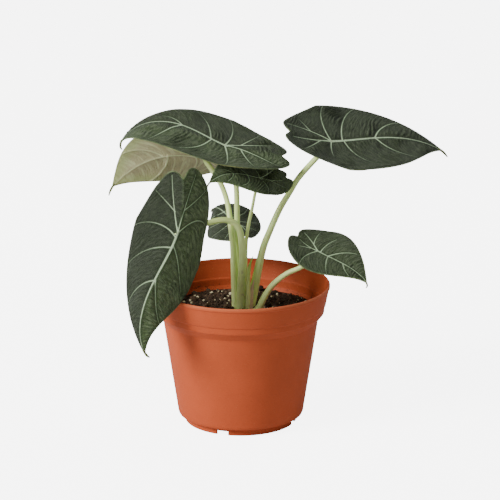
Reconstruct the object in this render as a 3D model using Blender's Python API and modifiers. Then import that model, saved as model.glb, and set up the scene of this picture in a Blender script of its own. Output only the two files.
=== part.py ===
"""Potted alocasia: a dark-leaved plant in a round nursery pot.

The pot stands on the XY plane with its axis on Z, and the origin is the centre of its foot.
Sizes below are in millimetres and angles in degrees; MM turns them into the scene's metres.
The plant is laid out from the crown, with heights measured from the level of the potting mix.
"""

import math

import bmesh
import bpy
import numpy as np

MM = 0.001
GAP = 0.3  # clearance between pieces that touch

# Pot
POT_HEIGHT = 86.0
RIM_RADIUS = 54.0
WALL = 1.2
LIP_HEIGHT = 2.2
LIP_PROUD = 0.5
BAND_HEIGHT = 17.5  # from the lip's top to the band's lower edge
BAND_TAPER = 3.4  # how far the band draws in over its height
CREASE_DROP = 13.0  # from the lip's top to the crease round the band
CREASE_STEP = 0.5
SHOULDER_HEIGHT = 4.3
SHOULDER_INSET = 3.6
BASE_RADIUS = 38.2
FOOT_RADIUS = 34.0
FOOT_HEIGHT = 4.8
FOOT_WALL = 1.8
FLOOR_RISE = 3.0  # the ring of floor between the foot and the central pad
PAD_RADIUS = 13.0
NOTCH_WIDTH = 7.3
NOTCH_HEIGHT = 2.7
NOTCH_TURN = -19.0  # the first notch, round from the front
NOTCHES = 4
DRAIN_RADIUS = 1.9
POT_STEPS = 56

# Potting mix
MIX_DROP = 18.0  # from the rim down to the mix at the wall
MIX_CROWN = 1.4  # how far the mix rises towards the plant
MIX_LEVEL = POT_HEIGHT - MIX_DROP
HOLE_FLARE = 3.4  # how far the planting hole opens towards its top
GRAIN_RADIUS = 1.3
GRAIN_FLAT = 0.75
GRAINS = 9

# Crown: the petioles stand on the rhizome in a bundle
STEM_RADIUS = 1.8
CROWN = (2.2, 1.2)
CROWN_RADIUS = 9.6
CROWN_DEPTH = 7.5
RHIZOME_LENGTH = 27.0

BLADE_THICKNESS = 0.9
BLADE_ROWS = 18
BLADE_COLUMNS = 3

# Half outline of a flat blade, along and across the midrib in leaf lengths, from notch to tip.
OUTLINE = (
    (-0.43, 0.0), (-0.465, 0.018), (-0.505, 0.04), (-0.53, 0.085), (-0.515, 0.14), (-0.45, 0.215),
    (-0.33, 0.305), (-0.18, 0.375), (0.0, 0.425), (0.16, 0.435), (0.34, 0.40), (0.52, 0.32),
    (0.70, 0.205), (0.85, 0.095), (0.94, 0.035), (1.0, 0.0),
)
OUTLINE_LOBE = 0.53
OUTLINE_BREADTH = 0.87

# Where the overhanging leaf's petiole joins it: just outside the rim, to the front left.
OVERHANG = 4.0
OVERHANG_RISE = 44.0  # from the rim up to the overhanging leaf's junction
OVERHANG_TURN = math.radians(-129.0)
OVERHANG_X = (RIM_RADIUS + OVERHANG) * math.cos(OVERHANG_TURN)
OVERHANG_Y = (RIM_RADIUS + OVERHANG) * math.sin(OVERHANG_TURN)

# Each leaf: junction is where petiole and blade meet, and length runs from there to the tip.
# heading, pitch and roll set the midrib's direction at the junction. bend is the droop per leaf
# length at the junction and its growth to the tip, sweep and twist are (front, lobes) per leaf
# length, lobe_droop lowers the lobes, and fold and curl are (left half, right half).
LEAVES = {
    "upper_left": dict(
        junction=(-9.5, 2.0, 103.0), length=72.0, breadth=68.0, lobe=39.0, heading=173, pitch=12, roll=-23,
        bend=(-60, 275), sweep=(-15, -30), twist=(5, -10), lobe_droop=-5, fold=(-8, -4), curl=(-110, 25),
        base=(-0.8, 6.2), thick=(0.92, 0.83),
        route=((-1.4, 7.0, 16), (-2.2, 7.4, 42), (-2.2, 7.2, 57), (-2.6, 6.4, 76), (-4.6, 4.6, 90)),
    ),
    "left": dict(
        junction=(-19.5, 34.0, 86.0), length=70.5, breadth=61.0, lobe=37.0, heading=158, pitch=13, roll=37,
        bend=(70, -15), sweep=(10, 0), twist=(45, 0), lobe_droop=10, fold=(-1, 7), curl=(30, -5),
        base=(-2.8, 1.6), thick=(0.89, 0.78),
        route=((-4.0, 1.5, 28), (-5.0, 3.0, 44), (-6.5, 7.0, 56), (-8.2, 14.0, 65), (-12.4, 24.0, 74)),
    ),
    "front_left": dict(
        junction=(OVERHANG_X, OVERHANG_Y, OVERHANG_RISE + MIX_DROP), length=77.5, breadth=59.0, lobe=37.0,
        heading=-147, pitch=-70, roll=-61, bend=(-80, 255), sweep=(-5, 0), twist=(30, -10), lobe_droop=-60,
        fold=(-45, -35), curl=(45, 15), base=(0.8, -2.8), thick=(1.0, 0.89),
        route=((0.8, -3.2, 17), (1.0, -3.6, 40), (-1.5, -4.0, 54), (-9.3, -4.2, 58.5), (-20.0, -5.5, 57),
               (-27.5, -13.0, 57), (-33.0, -27.0, 58.5)),
    ),
    "upper_right": dict(
        junction=(54.0, 0.0, 106.0), length=75.5, breadth=70.0, lobe=31.0, heading=22, pitch=-10, roll=32,
        bend=(-45, 135), sweep=(0, 20), twist=(-5, 35), lobe_droop=-40, fold=(-2, -10), curl=(15, -110),
        base=(5.2, -0.5), thick=(1.17, 0.86),
        route=((8.2, -0.5, 15), (13.0, -0.5, 38), (17.2, 1.0, 49.5), (23.4, 4.0, 63), (29.6, 7.0, 73),
               (35.0, 7.0, 82), (44.5, 3.8, 94)),
    ),
    "middle": dict(
        junction=(11.0, -9.0, 85.5), length=40.0, breadth=33.0, lobe=23.0, heading=218, pitch=18, roll=-22,
        bend=(-10, 105), sweep=(5, 5), twist=(-10, 10), lobe_droop=-40, fold=(0, 4), curl=(20, 0),
        base=(2.4, 3.6), thick=(0.67, 0.42),
        route=((2.6, 3.0, 22), (3.2, 0.8, 42), (4.7, -1.2, 54.5), (6.8, -3.6, 65), (8.6, -6.4, 75.5)),
    ),
    "back": dict(
        junction=(-4.5, 31.0, 48.0), length=42.0, breadth=35.0, lobe=22.0, heading=109, pitch=0, roll=-7,
        bend=(5, -35), sweep=(0, 0), twist=(-30, -5), lobe_droop=35, fold=(-16, -12), curl=(55, 25),
        base=(2.2, 9.2), thick=(0.61, 0.55),
        route=((0.8, 12.5, 12), (-1.5, 18.0, 26), (-3.8, 26.0, 37.5)),
    ),
    "lower_right": dict(
        junction=(46.0, -20.0, 43.5), length=40.0, breadth=35.0, lobe=20.0, heading=-42, pitch=-10, roll=15,
        bend=(-20, 115), sweep=(5, 10), twist=(15, 20), lobe_droop=-45, fold=(35, 2), curl=(70, 15),
        base=(7.8, -5.4), thick=(0.78, 0.67),
        route=((11.0, -6.4, 4), (13.8, -8.0, 10.5), (17.9, -10.0, 18), (23.3, -13.0, 24.5), (28.8, -15.0, 29),
               (34.3, -17.0, 32), (40.3, -18.6, 36)),
    ),
}

# Young growth at the crown: (x, y, height, thickness) from base to tip, thickness in stem radii.
NEW_SHOOT = ((3.2, -6.6, -6, 0.55), (3.2, -6.4, 4, 0.6), (3.0, -6.2, 14, 0.6), (2.6, -6.2, 24, 0.5),
             (3.5, -6.3, 31, 0.4), (6.2, -6.6, 36, 0.12))
SHEATH = ((5.2, -4.4, -6, 0.45), (5.2, -4.3, 4, 0.48), (5.3, -4.1, 14, 0.42), (6.6, -3.9, 21.5, 0.14))

COLOURS = {
    "pot": (0.50, 0.135, 0.05, 0.5),
    "mix": (0.035, 0.022, 0.016, 1.0),
    "grain": (0.62, 0.56, 0.42, 0.9),
    "rhizome": (0.16, 0.11, 0.06, 0.8),
    "petiole": (0.42, 0.45, 0.24, 0.45),
    "blade": (0.045, 0.075, 0.04, 0.7),
    "shoot": (0.20, 0.30, 0.04, 0.5),
    "sheath": (0.42, 0.26, 0.16, 0.6),
}


def make_collections():
    for obj in list(bpy.data.objects):
        bpy.data.objects.remove(obj, do_unlink=True)
    made = []
    for name in ("potted_alocasia", "cutters"):
        collection = bpy.data.collections.new(name)
        bpy.context.scene.collection.children.link(collection)
        made.append(collection)
    return made


def material(name, finish):
    red, green, blue, roughness = COLOURS[finish]
    made = bpy.data.materials.new(name)
    made.use_nodes = True
    shader = made.node_tree.nodes["Principled BSDF"]
    shader.inputs["Base Color"].default_value = (red, green, blue, 1.0)
    shader.inputs["Roughness"].default_value = roughness
    shader.inputs["Metallic"].default_value = 0.0
    return made


def add_object(name, data, collection, finish):
    obj = bpy.data.objects.new(name, data)
    data.materials.append(material(name, finish))
    collection.objects.link(obj)
    return obj


def smooth_through(points, count):
    """Catmull-Rom curve through the points, sampled evenly between the first and the last."""
    points = np.array(points, float)
    ends = [2 * points[0] - points[1], *points, 2 * points[-1] - points[-2]]
    padded = np.array(ends)
    where = np.linspace(0, len(points) - 1, count)
    span = np.minimum(where.astype(int), len(points) - 2)
    t = (where - span)[:, None]
    before, start, end, after = (padded[span + k] for k in range(4))
    return 0.5 * (
        2 * start + (end - before) * t + (2 * before - 5 * start + 4 * end - after) * t**2
        + (3 * start - 3 * end + after - before) * t**3
    )


def turned(name, profile, collection, finish, centre=(0.0, 0.0), steps=POT_STEPS):
    """A profile of (radius, height) points turned round an upright axis at the centre."""
    mesh = bpy.data.meshes.new(name)
    points = [(radius * MM, 0.0, height * MM) for radius, height in profile]
    mesh.from_pydata(points, [(i, i + 1) for i in range(len(points) - 1)], [])
    obj = add_object(name, mesh, collection, finish)
    obj.location = (centre[0] * MM, centre[1] * MM, 0.0)
    screw = obj.modifiers.new("turn", "SCREW")
    screw.steps = screw.render_steps = steps
    screw.use_merge_vertices = True
    screw.merge_threshold = 0.00001
    screw.use_smooth_shade = True
    return obj


def pot_outer():
    """The pot's outer side, from the lip down to the bottom of the foot."""
    band_low = POT_HEIGHT - BAND_HEIGHT
    wall_top = band_low - SHOULDER_HEIGHT
    band_radius = RIM_RADIUS - BAND_TAPER
    crease = POT_HEIGHT - CREASE_DROP
    crease_radius = RIM_RADIUS - LIP_PROUD - BAND_TAPER * CREASE_DROP / BAND_HEIGHT + CREASE_STEP
    return [
        (RIM_RADIUS - 0.5, POT_HEIGHT),
        (RIM_RADIUS - 0.15, POT_HEIGHT - 0.15),
        (RIM_RADIUS, POT_HEIGHT - 0.5),
        (RIM_RADIUS, POT_HEIGHT - LIP_HEIGHT),
        (RIM_RADIUS - LIP_PROUD, POT_HEIGHT - LIP_HEIGHT - 0.5),
        (crease_radius, crease),
        (crease_radius - CREASE_STEP, crease - 0.5),
        (band_radius, band_low + 0.4),
        (band_radius - 0.4, band_low),
        (band_radius - SHOULDER_INSET, wall_top),
        (BASE_RADIUS, FOOT_HEIGHT + 1.2),
        (BASE_RADIUS - 0.35, FOOT_HEIGHT + 0.35),
        (BASE_RADIUS - 1.2, FOOT_HEIGHT),
        (FOOT_RADIUS, FOOT_HEIGHT),
        (FOOT_RADIUS, 0.4),
        (FOOT_RADIUS - 0.4, 0.0),
    ]


def pot_under():
    """The underside, from the foot's bottom to the centre of the pad."""
    inner_foot = FOOT_RADIUS - FOOT_WALL
    return [
        (inner_foot, 0.0),
        (inner_foot, FLOOR_RISE),
        (PAD_RADIUS + 1.5, FLOOR_RISE),
        (PAD_RADIUS, 0.0),
        (0.0, 0.0),
    ]


def pot_inner():
    """The inside, from the centre of the floor up to the lip."""
    floor = FLOOR_RISE + WALL
    band_low = POT_HEIGHT - BAND_HEIGHT
    wall_top = band_low - SHOULDER_HEIGHT
    band_radius = RIM_RADIUS - BAND_TAPER - WALL
    return [
        (0.0, WALL),
        (PAD_RADIUS - 1.0, WALL),
        (PAD_RADIUS + 0.5, floor),
        (FOOT_RADIUS - FOOT_WALL, floor),
        (FOOT_RADIUS - 0.4, FOOT_HEIGHT + WALL),
        (BASE_RADIUS - WALL - 0.8, FOOT_HEIGHT + WALL + 0.4),
        (BASE_RADIUS - WALL, FOOT_HEIGHT + WALL + 1.8),
        (band_radius - SHOULDER_INSET + 0.4, wall_top + 0.8),
        (band_radius, band_low + 1.2),
        (band_radius + 0.2, POT_HEIGHT - CREASE_DROP + 0.9),
        (band_radius + 0.9, POT_HEIGHT - CREASE_DROP + 1.6),
        (RIM_RADIUS - LIP_PROUD - WALL, POT_HEIGHT - LIP_HEIGHT - 1.0),
        (RIM_RADIUS - WALL, POT_HEIGHT - 0.4),
        (RIM_RADIUS - WALL + 0.35, POT_HEIGHT),
    ]


def notch_cutters(collection):
    """Boxes through the foot and round drain holes through the floor, as one cutter."""
    shape = bmesh.new()
    reach = 4 * FOOT_WALL
    for step in range(NOTCHES):
        turn = math.radians(NOTCH_TURN - 90 + step * 360 / NOTCHES)
        centre = FOOT_RADIUS - FOOT_WALL / 2
        box = bmesh.ops.create_cube(shape, size=1.0)["verts"]
        bmesh.ops.scale(shape, verts=box, vec=(reach * MM, NOTCH_WIDTH * MM, 2 * NOTCH_HEIGHT * MM))
        bmesh.ops.translate(shape, verts=box, vec=(centre * MM, 0.0, 0.0))
        hole = bmesh.ops.create_cone(
            shape, cap_ends=True, segments=16, radius1=DRAIN_RADIUS * MM, radius2=DRAIN_RADIUS * MM,
            depth=3 * WALL * MM,
        )["verts"]
        hole_radius = (PAD_RADIUS + FOOT_RADIUS) / 2
        bmesh.ops.translate(shape, verts=hole, vec=(hole_radius * MM, 0.0, (FLOOR_RISE + WALL / 2) * MM))
        spin = (
            (math.cos(turn), -math.sin(turn), 0.0),
            (math.sin(turn), math.cos(turn), 0.0),
            (0.0, 0.0, 1.0),
        )
        for vertex in box + hole:
            vertex.co = [sum(row[k] * vertex.co[k] for k in range(3)) for row in spin]
    return cutter("drain_cutter", shape, collection)


def cutter(name, shape, collection):
    mesh = bpy.data.meshes.new(name)
    shape.to_mesh(mesh)
    shape.free()
    obj = bpy.data.objects.new(name, mesh)
    obj.hide_render = True
    obj.display_type = "WIRE"
    collection.objects.link(obj)
    return obj


def cut(obj, tool):
    boolean = obj.modifiers.new("cut", "BOOLEAN")
    boolean.operation = "DIFFERENCE"
    boolean.object = tool


def make_pot(parts, cutters):
    pot = turned("pot", pot_inner() + pot_outer() + pot_under(), parts, "pot")
    cut(pot, notch_cutters(cutters))


def mix_wall():
    """Points where the mix meets the pot, from the floor's centre to the wall at the mix's level."""
    inner = [(max(radius - GAP, 0.0), height + GAP) for radius, height in pot_inner()]
    below = [point for point in inner if point[1] < MIX_LEVEL - 1.0]
    heights = [height for _, height in inner]
    radii = [radius for radius, _ in inner]
    return below + [(float(np.interp(MIX_LEVEL, heights, radii)), MIX_LEVEL)]


def mix_top(radius):
    """Height of the mix's surface: level at the wall, and a little higher towards the plant."""
    edge = mix_wall()[-1][0]
    return MIX_LEVEL + MIX_CROWN * math.sin(0.5 * math.pi * min(1.0, 2.0 * (1.0 - radius / edge)))


def rhizome_profile():
    top = MIX_LEVEL - CROWN_DEPTH
    low = top - RHIZOME_LENGTH
    return [
        (0.0, top), (CROWN_RADIUS - 0.6, top), (CROWN_RADIUS, top - 0.6), (CROWN_RADIUS, top - 4.0),
        (CROWN_RADIUS - 1.0, top - 5.0), (CROWN_RADIUS - 0.4, top - 12.0), (CROWN_RADIUS - 1.4, top - 13.0),
        (CROWN_RADIUS - 1.2, low + 4.0), (CROWN_RADIUS - 3.5, low + 0.8), (0.0, low),
    ]


def make_mix(parts, cutters):
    wall = mix_wall()
    edge = wall[-1][0]
    radii = np.linspace(0.0, edge, 9)[:-1]
    top = [(float(radius), mix_top(float(radius))) for radius in radii]
    mix = turned("potting_mix", top + wall[::-1], parts, "mix", steps=48)
    low = MIX_LEVEL - CROWN_DEPTH - RHIZOME_LENGTH - GAP
    hole = [
        (0.0, MIX_LEVEL + 6.0),
        (CROWN_RADIUS + HOLE_FLARE + 1.6, MIX_LEVEL + 6.0),
        (CROWN_RADIUS + GAP, MIX_LEVEL - CROWN_DEPTH),
        (CROWN_RADIUS + GAP, low),
        (0.0, low),
    ]
    tool = turned("hole_cutter", hole, cutters, "mix", centre=CROWN, steps=32)
    tool.hide_render = True
    tool.display_type = "WIRE"
    cut(mix, tool)
    turned("rhizome", rhizome_profile(), parts, "rhizome", centre=CROWN, steps=24)


def make_grains(parts):
    """Pale grains of perlite that lie on the mix, on a spiral round the plant."""
    edge = mix_wall()[-1][0]
    for index in range(GRAINS):
        turn = index * math.radians(137.5)
        radius = edge * (0.5 + 0.4 * index / (GRAINS - 1))
        size = GRAIN_RADIUS * (0.8 + 0.2 * math.cos(2.3 * index))
        shape = bmesh.new()
        bmesh.ops.create_icosphere(shape, subdivisions=2, radius=size * MM)
        bmesh.ops.scale(shape, verts=shape.verts, vec=(1.0, 0.85, GRAIN_FLAT))
        mesh = bpy.data.meshes.new("perlite")
        shape.to_mesh(mesh)
        shape.free()
        grain = add_object(f"perlite_{index + 1}", mesh, parts, "grain")
        height = MIX_LEVEL + MIX_CROWN + GAP + size * GRAIN_FLAT
        grain.location = (radius * math.cos(turn) * MM, radius * math.sin(turn) * MM, height * MM)
        grain.rotation_euler = (0.0, 0.0, 1.7 * index)


def midrib_frames(leaf, along):
    """Place, left-hand side and upward normal on the midrib, at distances along it in leaf lengths.

    The midrib's heading, pitch and roll change evenly with distance, and its place is the running
    sum of its direction, first to the tip and then, from the junction again, back over the lobes.
    """
    grid = np.linspace(-0.7, 1.0, 171)
    front = np.maximum(grid, 0.0)
    back = np.minimum(grid, 0.0)
    bend, growth = leaf["bend"]
    heading = np.radians(leaf["heading"] + leaf["sweep"][0] * front + leaf["sweep"][1] * back)
    pitch = np.radians(
        leaf["pitch"] - bend * front - 0.5 * growth * front**2 - leaf["lobe_droop"] * back
    )
    roll = np.radians(leaf["roll"] + leaf["twist"][0] * front + leaf["twist"][1] * back)[:, None]
    ahead = np.stack(
        [np.cos(pitch) * np.cos(heading), np.cos(pitch) * np.sin(heading), np.sin(pitch)], axis=1
    )
    level = np.stack([-np.sin(heading), np.cos(heading), 0.0 * heading], axis=1)
    above = np.cross(ahead, level)
    side = np.cos(roll) * level + np.sin(roll) * above
    step = 0.5 * (ahead[1:] + ahead[:-1]) * (grid[1] - grid[0]) * leaf["length"]
    place = np.concatenate([np.zeros((1, 3)), np.cumsum(step, axis=0)])
    place -= place[np.argmin(np.abs(grid))]
    table = np.concatenate([place, side, np.cross(ahead, side)], axis=1)
    found = np.stack([np.interp(along, grid, column) for column in table.T], axis=-1)
    return found[..., :3], found[..., 3:6], found[..., 6:]


def blade_surface(leaf, along, across):
    """Points of the blade's middle surface, for flat places along and across in leaf lengths.

    Each half leaves the midrib at its fold angle and bends by its curl, as an arc of a circle.
    """
    place, side, normal = midrib_frames(leaf, along)
    left = across >= 0.0
    fold = np.radians(np.where(left, leaf["fold"][0], leaf["fold"][1]))
    curl = np.radians(np.where(left, leaf["curl"][0], leaf["curl"][1])) + 1e-6
    reach = np.abs(across)
    out = np.sign(across) * (np.sin(fold) - np.sin(fold - curl * reach)) / curl
    rise = (np.cos(fold - curl * reach) - np.cos(fold)) / curl
    junction = np.array(leaf["junction"]) + (0.0, 0.0, MIX_LEVEL)
    return junction + leaf["length"] * (out[..., None] * side + rise[..., None] * normal) + place


def make_blade(name, leaf, parts):
    """The blade as a grid from the midrib to the margin on both sides, given its thickness."""
    margin = smooth_through(OUTLINE, BLADE_ROWS)
    lobe = leaf["lobe"] / (OUTLINE_LOBE * leaf["length"])
    breadth = leaf["breadth"] / (OUTLINE_BREADTH * leaf["length"])
    rows = np.linspace(0.0, 1.0, BLADE_ROWS)
    spine = OUTLINE[0][0] + (1.0 - OUTLINE[0][0]) * rows**1.2
    share = np.linspace(-1.0, 1.0, 2 * BLADE_COLUMNS + 1)
    along = spine[:, None] + (margin[:, :1] - spine[:, None]) * np.abs(share)
    across = margin[:, 1:] * share * breadth
    along = np.where(along < 0.0, along * lobe, along)
    points = blade_surface(leaf, along, across) * MM
    columns = len(share)
    shape = bmesh.new()
    grid = [[shape.verts.new(point) for point in row] for row in points]
    for row in range(BLADE_ROWS - 1):
        for column in range(columns - 1):
            shape.faces.new((
                grid[row][column], grid[row + 1][column],
                grid[row + 1][column + 1], grid[row][column + 1],
            ))
    bmesh.ops.remove_doubles(shape, verts=shape.verts, dist=1e-6)
    mesh = bpy.data.meshes.new(name)
    shape.to_mesh(mesh)
    shape.free()
    mesh.shade_smooth()
    blade = add_object(name, mesh, parts, "blade")
    solid = blade.modifiers.new("thickness", "SOLIDIFY")
    solid.thickness = BLADE_THICKNESS * MM
    solid.offset = 0.0


def make_stem(name, points, parts, finish):
    """A round tapering stem through (x, y, height above the mix, radius) points."""
    length = float(np.sum(np.linalg.norm(np.diff(np.array(points)[:, :3], axis=0), axis=1)))
    smooth = smooth_through(points, max(6, round(length / 7.0)))
    curve = bpy.data.curves.new(name, "CURVE")
    curve.dimensions = "3D"
    curve.bevel_depth = MM
    curve.bevel_resolution = 2
    curve.use_fill_caps = True
    spline = curve.splines.new("POLY")
    spline.points.add(len(smooth) - 1)
    for point, (x, y, height, radius) in zip(spline.points, smooth):
        point.co = (x * MM, y * MM, (height + MIX_LEVEL) * MM, 1.0)
        point.radius = radius
    spline.use_smooth = True
    add_object(name, curve, parts, finish)


def bundled(place):
    """A place in the crown's bundle, which spreads as the stems get thicker."""
    spread = STEM_RADIUS / 1.8
    return [centre + (value - centre) * spread for value, centre in zip(place, CROWN)]


def petiole_points(leaf):
    """From the rhizome, up through the bundle and the route, to just under the blade."""
    low, high = (share * STEM_RADIUS for share in leaf["thick"])
    foot = bundled(leaf["base"])
    _, _, normal = midrib_frames(leaf, np.array([0.0]))
    under = 0.5 * BLADE_THICKNESS + GAP + 1.2 * high
    end = np.array(leaf["junction"]) - normal[0] * under
    heights = [GAP - CROWN_DEPTH, 0.0, *(point[2] for point in leaf["route"]), end[2]]
    places = [(*foot, heights[0]), (*foot, heights[1]), *leaf["route"], tuple(end)]
    widths = np.linspace(low, high, len(places))
    return [(*place, float(width)) for place, width in zip(places, widths)]


def make_plant(parts):
    for name, leaf in LEAVES.items():
        make_blade(f"leaf_{name}", leaf, parts)
        make_stem(f"petiole_{name}", petiole_points(leaf), parts, "petiole")
    for name, points, finish in (("new_shoot", NEW_SHOOT, "shoot"), ("sheath", SHEATH, "sheath")):
        grown = [(*bundled((x, y)), height, share * STEM_RADIUS) for x, y, height, share in points]
        make_stem(name, grown, parts, finish)


def main():
    parts, cutters = make_collections()
    make_pot(parts, cutters)
    make_mix(parts, cutters)
    make_grains(parts)
    make_plant(parts)


main()
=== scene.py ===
"""Finished surfaces for a potted alocasia, built over its fixed CAD frame.

Lengths in the tables are millimetres and angles are degrees; MM turns lengths into metres.
Leaf places are (along, across) in leaf lengths, from the junction of stalk and blade to the tip.
"""

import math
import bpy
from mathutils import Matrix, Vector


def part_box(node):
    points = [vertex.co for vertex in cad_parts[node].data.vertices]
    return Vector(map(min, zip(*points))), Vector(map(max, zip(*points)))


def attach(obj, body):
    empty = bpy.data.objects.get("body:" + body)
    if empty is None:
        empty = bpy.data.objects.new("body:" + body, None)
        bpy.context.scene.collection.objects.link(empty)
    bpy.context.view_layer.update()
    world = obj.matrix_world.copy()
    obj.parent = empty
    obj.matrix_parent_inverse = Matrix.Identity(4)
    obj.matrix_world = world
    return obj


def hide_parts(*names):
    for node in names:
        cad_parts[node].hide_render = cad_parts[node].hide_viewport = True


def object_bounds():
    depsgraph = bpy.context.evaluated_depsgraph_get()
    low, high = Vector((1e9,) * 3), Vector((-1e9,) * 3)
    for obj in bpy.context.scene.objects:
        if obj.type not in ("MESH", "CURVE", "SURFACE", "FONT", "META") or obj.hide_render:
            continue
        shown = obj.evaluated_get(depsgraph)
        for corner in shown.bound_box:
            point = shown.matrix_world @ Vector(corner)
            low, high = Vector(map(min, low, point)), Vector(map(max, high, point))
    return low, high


bl_info = {
    "name": "Potted Alocasia",
    "version": (1, 0, 0),
    "blender": (4, 5, 0),
    "location": "3D View > Sidebar > Alocasia",
    "description": "Builds the pot, potting mix, leaves and stalks of a potted alocasia",
    "category": "Add Mesh",
}

import bpy
import numpy as np

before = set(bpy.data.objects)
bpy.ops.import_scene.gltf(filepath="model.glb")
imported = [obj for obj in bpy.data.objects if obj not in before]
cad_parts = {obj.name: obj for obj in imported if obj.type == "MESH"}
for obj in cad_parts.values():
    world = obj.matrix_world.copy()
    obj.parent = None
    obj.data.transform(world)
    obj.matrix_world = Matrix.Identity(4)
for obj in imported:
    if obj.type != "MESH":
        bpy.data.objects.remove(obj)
CAD_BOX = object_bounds()
POT_LOW, POT_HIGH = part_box("pot")

MM = 0.001
POT_HEIGHT = (POT_HIGH.z - POT_LOW.z) / MM
RIM_RADIUS = (POT_HIGH.x - POT_LOW.x) / 2 / MM
MIX_DROP = 18.0  # from the rim down to the mix
MIX_LEVEL = POT_HEIGHT - MIX_DROP
MIX_INSET = 6.1  # from the rim's radius to the mix's edge
STEM_RADIUS = 1.8
CAMERA_AIM = (5.6, 0.0, 106.6)
CAMERA_LENS = 203.4  # focal length behind a sensor 36 wide
FLOOR_REACH = 6.0  # metres from the pot to the floor's edge
CROWN = (2.2, 1.2)
CROWN_DEPTH = 7.5
BAND_INSET = 3.4  # how much narrower the rim band is at its foot
BAND_HEIGHT = 17.5
CREASE_DROP = 13.0
SHOULDER_DROP = 21.8
BLADE_THICKNESS = 0.9
OUTLINE_LOBE = 0.53
OUTLINE_BREADTH = 0.87
OUTLINE = (
    (-0.475, 0.0), (-0.492, 0.02), (-0.515, 0.045), (-0.53, 0.085), (-0.515, 0.14), (-0.45, 0.215),
    (-0.33, 0.305), (-0.18, 0.375), (0.0, 0.425), (0.16, 0.435), (0.34, 0.40), (0.52, 0.32),
    (0.70, 0.205), (0.85, 0.095), (0.94, 0.035), (1.0, 0.0),
)

# Side veins of one half: where each starts (along, across), the angle it leaves at from the
# midrib's forward direction, how far it turns on its way, and its reach.
SIDE_VEINS = (
    (0.0, 0.0, 118, -60, 0.45), (0.12, 0.0, 75, -45, 0.45), (0.40, 0.0, 55, -45, 0.38),
    (0.0, 0.0, 162, 14, 0.47), (-0.19, 0.05, 122, 0, 0.25),
)
MIDRIB_WIDTH = (0.80, 0.18)  # half width at the junction and at the tip
VEIN_WIDTH = (0.40, 0.08)
LAST_VEIN = 4  # the short vein inside the lobe, thinner than the others
RIBS = 25.0  # cross ribs on a blade of the large size
RIB_SWEEP = 1.9  # how strongly a rib turns forward towards the margin
LARGE_LEAF = 75.0

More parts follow.
